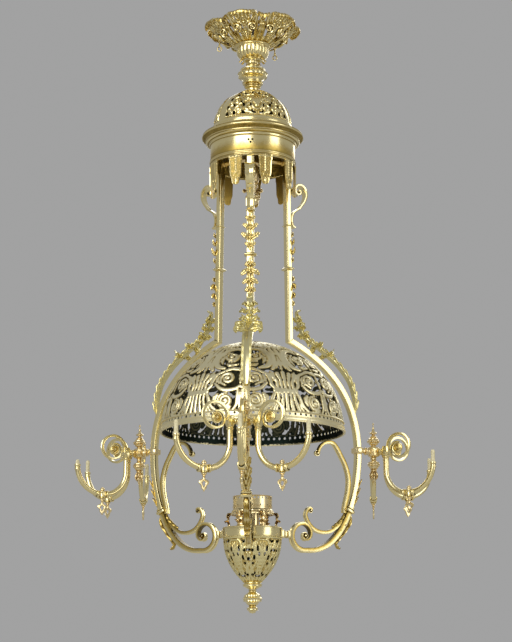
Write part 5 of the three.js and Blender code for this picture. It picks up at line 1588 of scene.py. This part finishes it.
def gallery_forms():
    """Chimney gallery: a thin wall of cells with round holes and slits, a scalloped apron whose
    radius and foot ripple, a ledge, and six bent leaf feet that reach into the ring."""
    outside, wall, cells = 49.6, 1.6, 60
    holes = np.zeros((4, cells, 2))
    holes[0, ::2] = (0.95, 0.85)
    holes[2, 1::4] = (0.5, 0.7)
    levels = np.array([-1273.6, -1279.6, -1291, -1297, -1304.6])

    def point(u, v, inset):
        """The wall's point, its height going from row to row."""
        return about_axis(
            u * (360 / cells), outside - wall * inset, np.interp(v, np.arange(len(levels)), levels)
        )

    forms = pierced(point, cells, 4, holes)
    forms[0].relief[:] = 0.85
    forms[0].soot_and_shade = 1.0 * (np.hypot(*forms[0].points[:, :2].T) < outside - wall / 2)
    belt = [(49, -1295.6), (50.8, -1296.4), (50.8, -1298), (49, -1298.8)]

    def scallop(azimuth, radius, height):
        """Thirty scallops as a cosine that grows downwards."""
        return 0.9 * np.cos(30 * azimuth) * np.clip((-1305 - height) / 6, 0, 1) * (radius > 52)

    forms += [
        turned([
            (47.8, -1270.2), (50.2, -1270.2, -0.8), (50.2, -1272.6), (49.4, -1273.8),
            (47.8, -1273.8)
        ], 4, 144, None, 0.9),
        turned([
            (47.8, -1303.6), (49.8, -1303.6), (52.2, -1307, -0.4), (55.3, -1312, -0.3),
            (55.6, -1317.4), (53.8, -1317.4), (51.5, -1315.2), (30.2, -1315.2), (30.2, -1313.6),
            (47.8, -1313.6)
        ], 4, 288, scallop, 0.8), revolve(belt, 144, None, 0.9)
    ]
    foot = []
    for stations, wide, lobes in (
        ([
            (51, -1313), (57, -1315), (61.5, -1321), (62.5, -1331), (61, -1341), (63, -1350),
            (71.9, -1357)
        ], 12, 5), ([(54, -1314), (60, -1312.5), (64.5, -1316), (66, -1323)], 9, 3),
        ([(60, -1340), (64, -1333), (68, -1331.5), (70, -1335)], 8, 3)
    ):
        foot.append(side_leaf(stations, 6, 1, (wide, 0.2, 0.72, 0.6), lobes, -0.2, 0.25, 2.2))
    return forms + around(foot, 6)


def ring_burner_forms():
    """Round burner inside the gallery: channel, stem and base turned, and three feed pipes."""
    forms = [turned([
        (13, -1285.2), (22, -1285.2, -0.3), (22, -1290), (20, -1298), (17, -1304), (17, -1344),
        (20, -1345), (20, -1372), (13, -1372)
    ], 3, 64, None, 0.7)]
    pipe = revolve([(0, 18), (4.5, 18), (4.5, 71), (0, 71)], 20).through(ALONG_X)
    return forms + around([pipe.moved((0, 0, -1361.8))], ARMS, -90)


BASKET_LINE = flow([
    (74.2, -1375.2), (73.4, -1388), (71.6, -1402), (68, -1416), (61.5, -1433), (53, -1449),
    (43, -1463), (32, -1475.5), (22, -1486)
], 8)


def basket_place(u, v, out):
    """The basket's point at azimuth u in degrees and share v of the way down, out from its wall."""
    radius, height, face_r, face_z = on_profile(BASKET_LINE, -1, v)
    return about_axis(u, radius - BASKET_SINK + out * face_r, height + out * face_z)


def basket_forms():
    """Pierced basket in twelve mirrored slices: a palm leaf on line 0, scroll pairs on line 30,
    their outlines, and small holes in rows; and its plain floor and rims."""
    strokes = []
    for k in range(5):
        strokes.append(stroke([
            (0.4 * k, 0.72), (1.9 * k, 0.52), (2.9 * k, 0.34), (3.3 * k, 0.15 + 0.03 * k)
        ], [1.3, 1.9, 2.3, 1.8], 1.8))
    for path, halves in (
        ([
            (0.2, 0.08), (8, 0.085), (13.6, 0.15), (15, 0.32), (11, 0.52), (4.5, 0.72), (0.5, 0.82)
        ], [1.8, 2.2, 2.4, 1.8]),
        ([
            (30, 0.05), (24, 0.07), (19.6, 0.16), (20.4, 0.25), (25, 0.26), (26.6, 0.19), (24, 0.16)
        ], [1.4, 2.2, 2.0, 1.4]),
        ([
            (18, 0.30), (19.4, 0.42), (24, 0.5), (28.6, 0.44), (27.4, 0.37), (24.4, 0.4)
        ], [1.4, 2.2, 2.0, 1.4]),
        ([
            (13, 0.56), (17.6, 0.64), (24.6, 0.66), (28.8, 0.58), (25.6, 0.54), (23.4, 0.58)
        ], [1.4, 2.2, 2.0, 1.4]),
        ([(2, 0.86), (9, 0.83), (15, 0.88), (13, 0.93), (8, 0.91)], [1.4, 2.2, 1.8, 1.2]),
        ([(20, 0.98), (23, 0.86), (30, 0.78)], [1.8, 2.2, 1.6]),
        ([(30, 0.10), (30, 0.3)], [1.6, 2.4, 1.2]), ([(0, 0.84), (0, 0.97)], [2.4, 1.6])
    ):
        strokes.append(stroke(path, halves, 1.9))
    for path, wide in (
        ([(29.8, 0.12), (27.6, 0.2), (29.4, 0.34)], 3.4),
        ([(27, 0.54), (21, 0.74), (13, 0.84)], 4.6), ([(15, 0.18), (18, 0.32), (14, 0.5)], 3.4),
        ([(9, 0.7), (6, 0.8), (1, 0.86)], 3.4), ([(30, 0.70), (27, 0.8), (26, 0.95)], 3.4),
        ([(17, 0.03), (11, 0.05), (4, 0.03)], 2.6)
    ):
        strokes.append(stroke(path, [0.5 * wide, wide, wide, 0.4 * wide], 1.6, 0.5, 4))
    for v in np.arange(0.16, 0.9, 0.09):
        for u in (4.6, 11.8, 17.6, 22.4, 26.4):
            strokes.append(stroke([
                (u - 1.6, v + 0.035), (u + 1.6, v - 0.02)
            ], [0.7, 1.4, 0.7], 1.5))
    voids = [
        stroke(path, 1.3 * np.array(wide))
        for path, wide in (
            ([(17, 0.085), (17.6, 0.085)], 2.4), ([(23.6, 0.105), (24.2, 0.105)], 2.4),
            ([(20.4, 0.125), (20.6, 0.125)], 2.2), ([(10.4, 0.23), (9.8, 0.31)], [1.9, 2.5]),
            ([(21, 0.315), (21.4, 0.32)], 2.5), ([(27.2, 0.31), (27.6, 0.31)], 2.5),
            ([(6.2, 0.385), (6, 0.4)], 2.2), ([(16.8, 0.44), (17.2, 0.47)], 2.5),
            ([(30, 0.475), (29.6, 0.49)], 3.0), ([(19.8, 0.56), (20.2, 0.56)], 2.4),
            ([(20, 0.80), (21, 0.79)], 2.6), ([(5, 0.815), (6, 0.82)], 2.6),
            ([(12.6, 0.76), (12.8, 0.76)], 1.9)
        )
    ]
    half = openwork(basket_place, (30.0, 36), ((0.0, 1.0), 56), strokes, voids, None, 1.6)
    half.relief = np.where(half.soot_and_shade < 0.5, 0.3 + 0.7 * half.relief, half.relief)
    forms = around(both_sides([half]), 6, BASKET_TURN)
    forms.append(revolve([
        (71, -1374.9), (74, -1374.9), (74.8, -1376.8), (74, -1379.4), (71, -1379.4)
    ], 144, None, 0.95))
    forms.append(revolve([
        (7, -1484.4), (20, -1484.4), (22.5, -1482.6), (24.8, -1485), (22.4, -1486.2), (7, -1486.2)
    ], 72, None, 0.9))
    return forms


def finial_forms():
    """Finial: a turned bolt, quirks, a lobed bulb and a drop."""

    def ripple(azimuth, radius, height):
        """Twelve lobes round the bulb, a power of a cosine."""
        bulb = np.clip(1 - ((height + 1525) / 14) ** 2, 0, 1)
        return 1.4 * bulb * (np.abs(np.cos(6 * azimuth)) ** 0.6 - 0.6) * (radius > 8)

    return [turned([
        (0, -1470.2), (6.6, -1470.2), (6.6, -1486.5), (21, -1486.5, -0.5), (25.4, -1490.4, -0.4),
        (24, -1494, 0.3), (17, -1498, 0.3), (10, -1501.5), (9.4, -1504, -0.6), (11, -1506, -0.6),
        (9.4, -1508.6), (12, -1511.5), (20, -1516.5, -0.35), (25, -1525, -0.4), (23, -1533, -0.3),
        (14, -1539, 0.3), (7.6, -1543), (9.5, -1544.6, -0.4), (15, -1548.5, -0.5),
        (14.4, -1554.5, -0.3), (7, -1561, -0.3), (0, -1563.1)
    ], 6, 144, ripple, 0.85)]


# What a user may set


class GasolierSizes(bpy.types.PropertyGroup):
    """Places of the camera and the stage."""

    camera_distance: FloatProperty(
        name="Camera distance", description="From the axis to the camera", default=4.160,
        unit="LENGTH"
    )
    camera_height: FloatProperty(
        name="Camera height", description="Below the ceiling pipe's seat", default=-1.716,
        unit="LENGTH"
    )
    camera_turn: FloatProperty(
        name="Camera turn", description="Round the axis from the front", default=math.radians(3.0),
        subtype="ANGLE"
    )
    camera_pitch: FloatProperty(
        name="Camera pitch", description="Upward tilt of the camera", default=math.radians(12.23),
        subtype="ANGLE"
    )
    lens: FloatProperty(
        name="Lens", description="Focal length for a 36 mm film", default=91.96, unit="CAMERA"
    )
    floor_height: FloatProperty(
        name="Floor height", description="The floor below the ceiling pipe's seat", default=-2.35,
        unit="LENGTH"
    )
    burner_height: FloatProperty(
        name="Burner height", description="Pillar over its cup, in millimetres", default=32.0,
        min=8.0, max=33.0
    )
    worn_burner_height: FloatProperty(
        name="Worn burner height", description="The short pillar, in millimetres", default=12.0,
        min=6.0, max=33.0
    )


class GasolierFinishes(bpy.types.PropertyGroup):
    """Colours and polish of the brass, and the light."""

    bright: StringProperty(
        name="Polished", description="Hex colour of polished brass", default="f7e7ac"
    )
    worn: StringProperty(name="Worn", description="Hex colour of worn brass", default="c6ab5c")
    gloss: FloatProperty(
        name="Roughness", description="Of the polished places", default=0.2, min=0.0, max=1.0,
        subtype="FACTOR"
    )
    room: FloatVectorProperty(
        name="Room", description="Colour of the room round the object", default=(0.36, 0.36, 0.36),
        subtype="COLOR"
    )
    lamp_watts: FloatProperty(
        name="Lamps", description="Power of the main soft lamp", default=205.0, unit="POWER"
    )


# Operators


def arm_set(forms, stem, finish, nodes):
    """The same forms on the three arms, each its own piece."""
    for arm in range(1, ARMS + 1):
        build(f"{stem}_{arm}", on_arm(forms, arm), finish, f"{nodes}_{arm}")


def each_branch():
    """The pairs of arm and branch numbers."""
    return [(arm, branch) for arm in range(1, ARMS + 1) for branch in range(1, BRANCHES + 1)]


class GASOLIER_OT_top(bpy.types.Operator):
    """Pipe, coupling, crown, bell and stem"""

    bl_idname = "gasolier.top"
    bl_label = "Pipe, crown and stem"

    def execute(self, context):
        coupling, pipe = pipe_forms()
        build("hex_coupling", [coupling], "iron_pipe", "pipe_coupling")
        build("iron_supply_pipe", [pipe], "iron_pipe", "supply_pipe")
        build("cast_crown", crown_forms() + hook_forms(), "polished_brass", "canopy_crown")
        build("gadrooned_bell", bell_forms(), "polished_brass", "canopy_bell")
        build("lobed_stem", stem_forms(), "polished_brass", "stem_knop")
        return {"FINISHED"}


class GASOLIER_OT_casing(bpy.types.Operator):
    """Domed casing, drum and hanging plates"""

    bl_idname = "gasolier.casing"
    bl_label = "Casing, drum and pendants"

    def execute(self, context):
        build("domed_casing", casing_forms(), "polished_brass", "upper_dome")
        build("cornice_drum", drum_forms(), "polished_brass", "drum_band")
        build("hanging_plates", pendant_forms(), "polished_brass", "pendant_ring")
        return {"FINISHED"}


class GASOLIER_OT_gas_way(bpy.types.Operator):
    """Distributor and the main cock's key"""

    bl_idname = "gasolier.gas_way"
    bl_label = "Distributor and main key"

    def execute(self, context):
        build("distributor_hub", distributor_forms(), "rose_brass", "gas_distributor")
        build("main_key_turned", main_key_forms(), "rose_brass", "main_cock_key", "main_key")
        return {"FINISHED"}


class GASOLIER_OT_arms(bpy.types.Operator):
    """Three arms with their scrolls and leaves"""

    bl_idname = "gasolier.arms"
    bl_label = "Arms and scrolls"

    def execute(self, context):
        arm_set(arm_forms(), "tube_arm", "polished_brass", "arm")
        arm_set(upper_scroll_forms(), "rolled_scroll", "polished_brass", "upper_scroll")
        arm_set(acanthus_forms(), "acanthus_strip", "green_brass", "acanthus_branch")
        arm_set(lower_scroll_forms(), "foot_scroll", "polished_brass", "lower_scroll")
        return {"FINISHED"}


class GASOLIER_OT_branches(bpy.types.Operator):
    """Urns, nine branches, their keys and burners"""

    bl_idname = "gasolier.branches"
    bl_label = "Urns, branches and burners"

    def execute(self, context):
        sizes = context.scene.gasolier_sizes
        arm_set(urn_forms(), "turned_urn", "rose_brass", "bracket_urn")
        tube, key = branch_forms(), cock_key_forms()
        for arm, branch in each_branch():
            tag = f"{arm}_{branch}"
            worn = tag == "3_3"
            height = sizes.worn_burner_height if worn else sizes.burner_height
            build(
                f"gas_branch_{tag}", placed_on_branch(tube, arm, branch), "polished_brass",
                f"branch_{tag}"
            )
            build(
                f"burner_pillar_{tag}", placed_on_branch(burner_forms(height), arm, branch),
                "burner_ceramic", f"burner_{tag}"
            )
            build(
                f"heart_key_{tag}", placed_on_branch(key, arm, branch), "rose_brass",
                f"cock_key_{tag}", f"key_{tag}"
            )
        return {"FINISHED"}


class GASOLIER_OT_dome(bpy.types.Operator):
    """The pierced dome"""

    bl_idname = "gasolier.dome"
    bl_label = "Pierced dome"

    def execute(self, context):
        lower, rim, upper = dome_forms()
        build("openwork_dome", lower, "pale_brass", "pierced_dome")
        build("pierced_dome_rim", rim, "pale_brass", "pierced_dome")
        build("openwork_dome_top", upper, "pale_brass", "pierced_dome")
        return {"FINISHED"}


class GASOLIER_OT_lower(bpy.types.Operator):
    """Ring, gallery, central burner, basket and finial"""

    bl_idname = "gasolier.lower"
    bl_label = "Ring, gallery and basket"

    def execute(self, context):
        build("plain_ring", ring_forms(), "polished_brass", "bottom_ring")
        build("chimney_gallery", gallery_forms(), "rose_brass", "burner_gallery")
        build("round_burner", ring_burner_forms(), "rose_brass", "ring_burner")
        build("palmette_basket", basket_forms(), "old_gold_brass", "basket")
        build("turned_finial", finial_forms(), "polished_brass", "basket_finial")
        return {"FINISHED"}


# The stage, in metres: the floor's reach, and each lamp's place, size and share of the power
FLOOR_REACH = 14
LAMPS = (
    ("key_lamp", (-2.2, -5.2, 1.0), (4.6, 4.4), 1.0),
    ("fill_lamp", (4.8, -2.4, -0.2), (2.4, 4.2), 0.3),
    ("back_lamp", (1.0, 5.4, 1.6), (4.6, 2.6), 0.45)
)
LAMP_AIM = (0, 0, -0.8)
# The camera looks past the axis by this angle
CAMERA_SWING = math.radians(0.122)
CAMERA_SIGHT = 60


class GASOLIER_OT_stage(bpy.types.Operator):
    """Floor, world, lamps and camera"""

    bl_idname = "gasolier.stage"
    bl_label = "Stage"

    def execute(self, context):
        sizes, finishes = context.scene.gasolier_sizes, context.scene.gasolier_finishes
        turn = np.radians(np.arange(0, 360, 5))
        rim = np.stack([
            FLOOR_REACH * np.cos(turn), FLOOR_REACH * np.sin(turn), 0 * turn + sizes.floor_height
        ], 1)
        mesh = bpy.data.meshes.new("floor")
        mesh.from_pydata(rim.tolist(), [], [list(range(len(rim)))])
        floor = bpy.data.objects.new("floor", mesh)
        context.scene.collection.objects.link(floor)
        material, tree, _ = grounded("pale_floor", ())
        surfaced(tree, linear("c9c8c5"), 0.0, 0.9)
        mesh.materials.append(material)
        world = bpy.data.worlds.new("room")
        context.scene.world = world
        world.use_nodes = True
        backdrop = next(n for n in world.node_tree.nodes if n.type == "BACKGROUND")
        backdrop.inputs["Color"].default_value = (*finishes.room, 1.0)
        backdrop.inputs["Strength"].default_value = 1.0
        for name, place, size, share in LAMPS:
            light = bpy.data.lights.new(name, "AREA")
            light.shape = "RECTANGLE"
            light.size, light.size_y = size
            light.energy = finishes.lamp_watts * share
            lamp = bpy.data.objects.new(name, light)
            lamp.location = place
            lamp.visible_camera = False
            aim = np.array(LAMP_AIM) - np.array(place)
            lamp.rotation_euler = (
                math.atan2(math.hypot(*aim[:2]), -aim[2]), 0,
                math.atan2(aim[1], aim[0]) - math.pi / 2
            )
            context.scene.collection.objects.link(lamp)
        camera = bpy.data.objects.new("camera", bpy.data.cameras.new("camera"))
        camera.data.sensor_width = 36
        camera.data.lens = sizes.lens
        camera.data.clip_end = CAMERA_SIGHT
        spot = sizes.camera_turn
        camera.location = (
            sizes.camera_distance * math.sin(spot), -sizes.camera_distance * math.cos(spot),
            sizes.camera_height
        )
        camera.rotation_euler = (math.pi / 2 + sizes.camera_pitch, 0, spot - CAMERA_SWING)
        context.scene.collection.objects.link(camera)
        context.scene.camera = camera
        context.scene.view_settings.view_transform = "Standard"
        return {"FINISHED"}


PIECES = (
    GASOLIER_OT_top, GASOLIER_OT_casing, GASOLIER_OT_gas_way, GASOLIER_OT_arms,
    GASOLIER_OT_branches, GASOLIER_OT_dome, GASOLIER_OT_lower, GASOLIER_OT_stage
)


class GASOLIER_PT_panel(bpy.types.Panel):
    """Sidebar panel with the operators and the settings"""

    bl_idname = "GASOLIER_PT_panel"
    bl_label = "Gasolier"
    bl_space_type = "VIEW_3D"
    bl_region_type = "UI"
    bl_category = "Gasolier"

    def draw(self, context):
        column = self.layout.column()
        for settings in (context.scene.gasolier_sizes, context.scene.gasolier_finishes):
            for key in settings.__annotations__:
                column.prop(settings, key)
        for piece in PIECES:
            column.operator(piece.bl_idname)


CLASSES = (GasolierSizes, GasolierFinishes, *PIECES, GASOLIER_PT_panel)


def register():
    """Adds the classes and the two groups of settings."""
    for item in CLASSES:
        bpy.utils.register_class(item)
    bpy.types.Scene.gasolier_sizes = PointerProperty(type=GasolierSizes)
    bpy.types.Scene.gasolier_finishes = PointerProperty(type=GasolierFinishes)


def unregister():
    """Takes the settings and the classes out again."""
    del bpy.types.Scene.gasolier_finishes
    del bpy.types.Scene.gasolier_sizes
    for item in reversed(CLASSES):
        bpy.utils.unregister_class(item)


def main():
    """Makes every piece and the stage."""
    register()
    for piece in PIECES:
        group, action = piece.bl_idname.split(".")
        getattr(getattr(bpy.ops, group), action)()


if __name__ == "__main__":
    main()
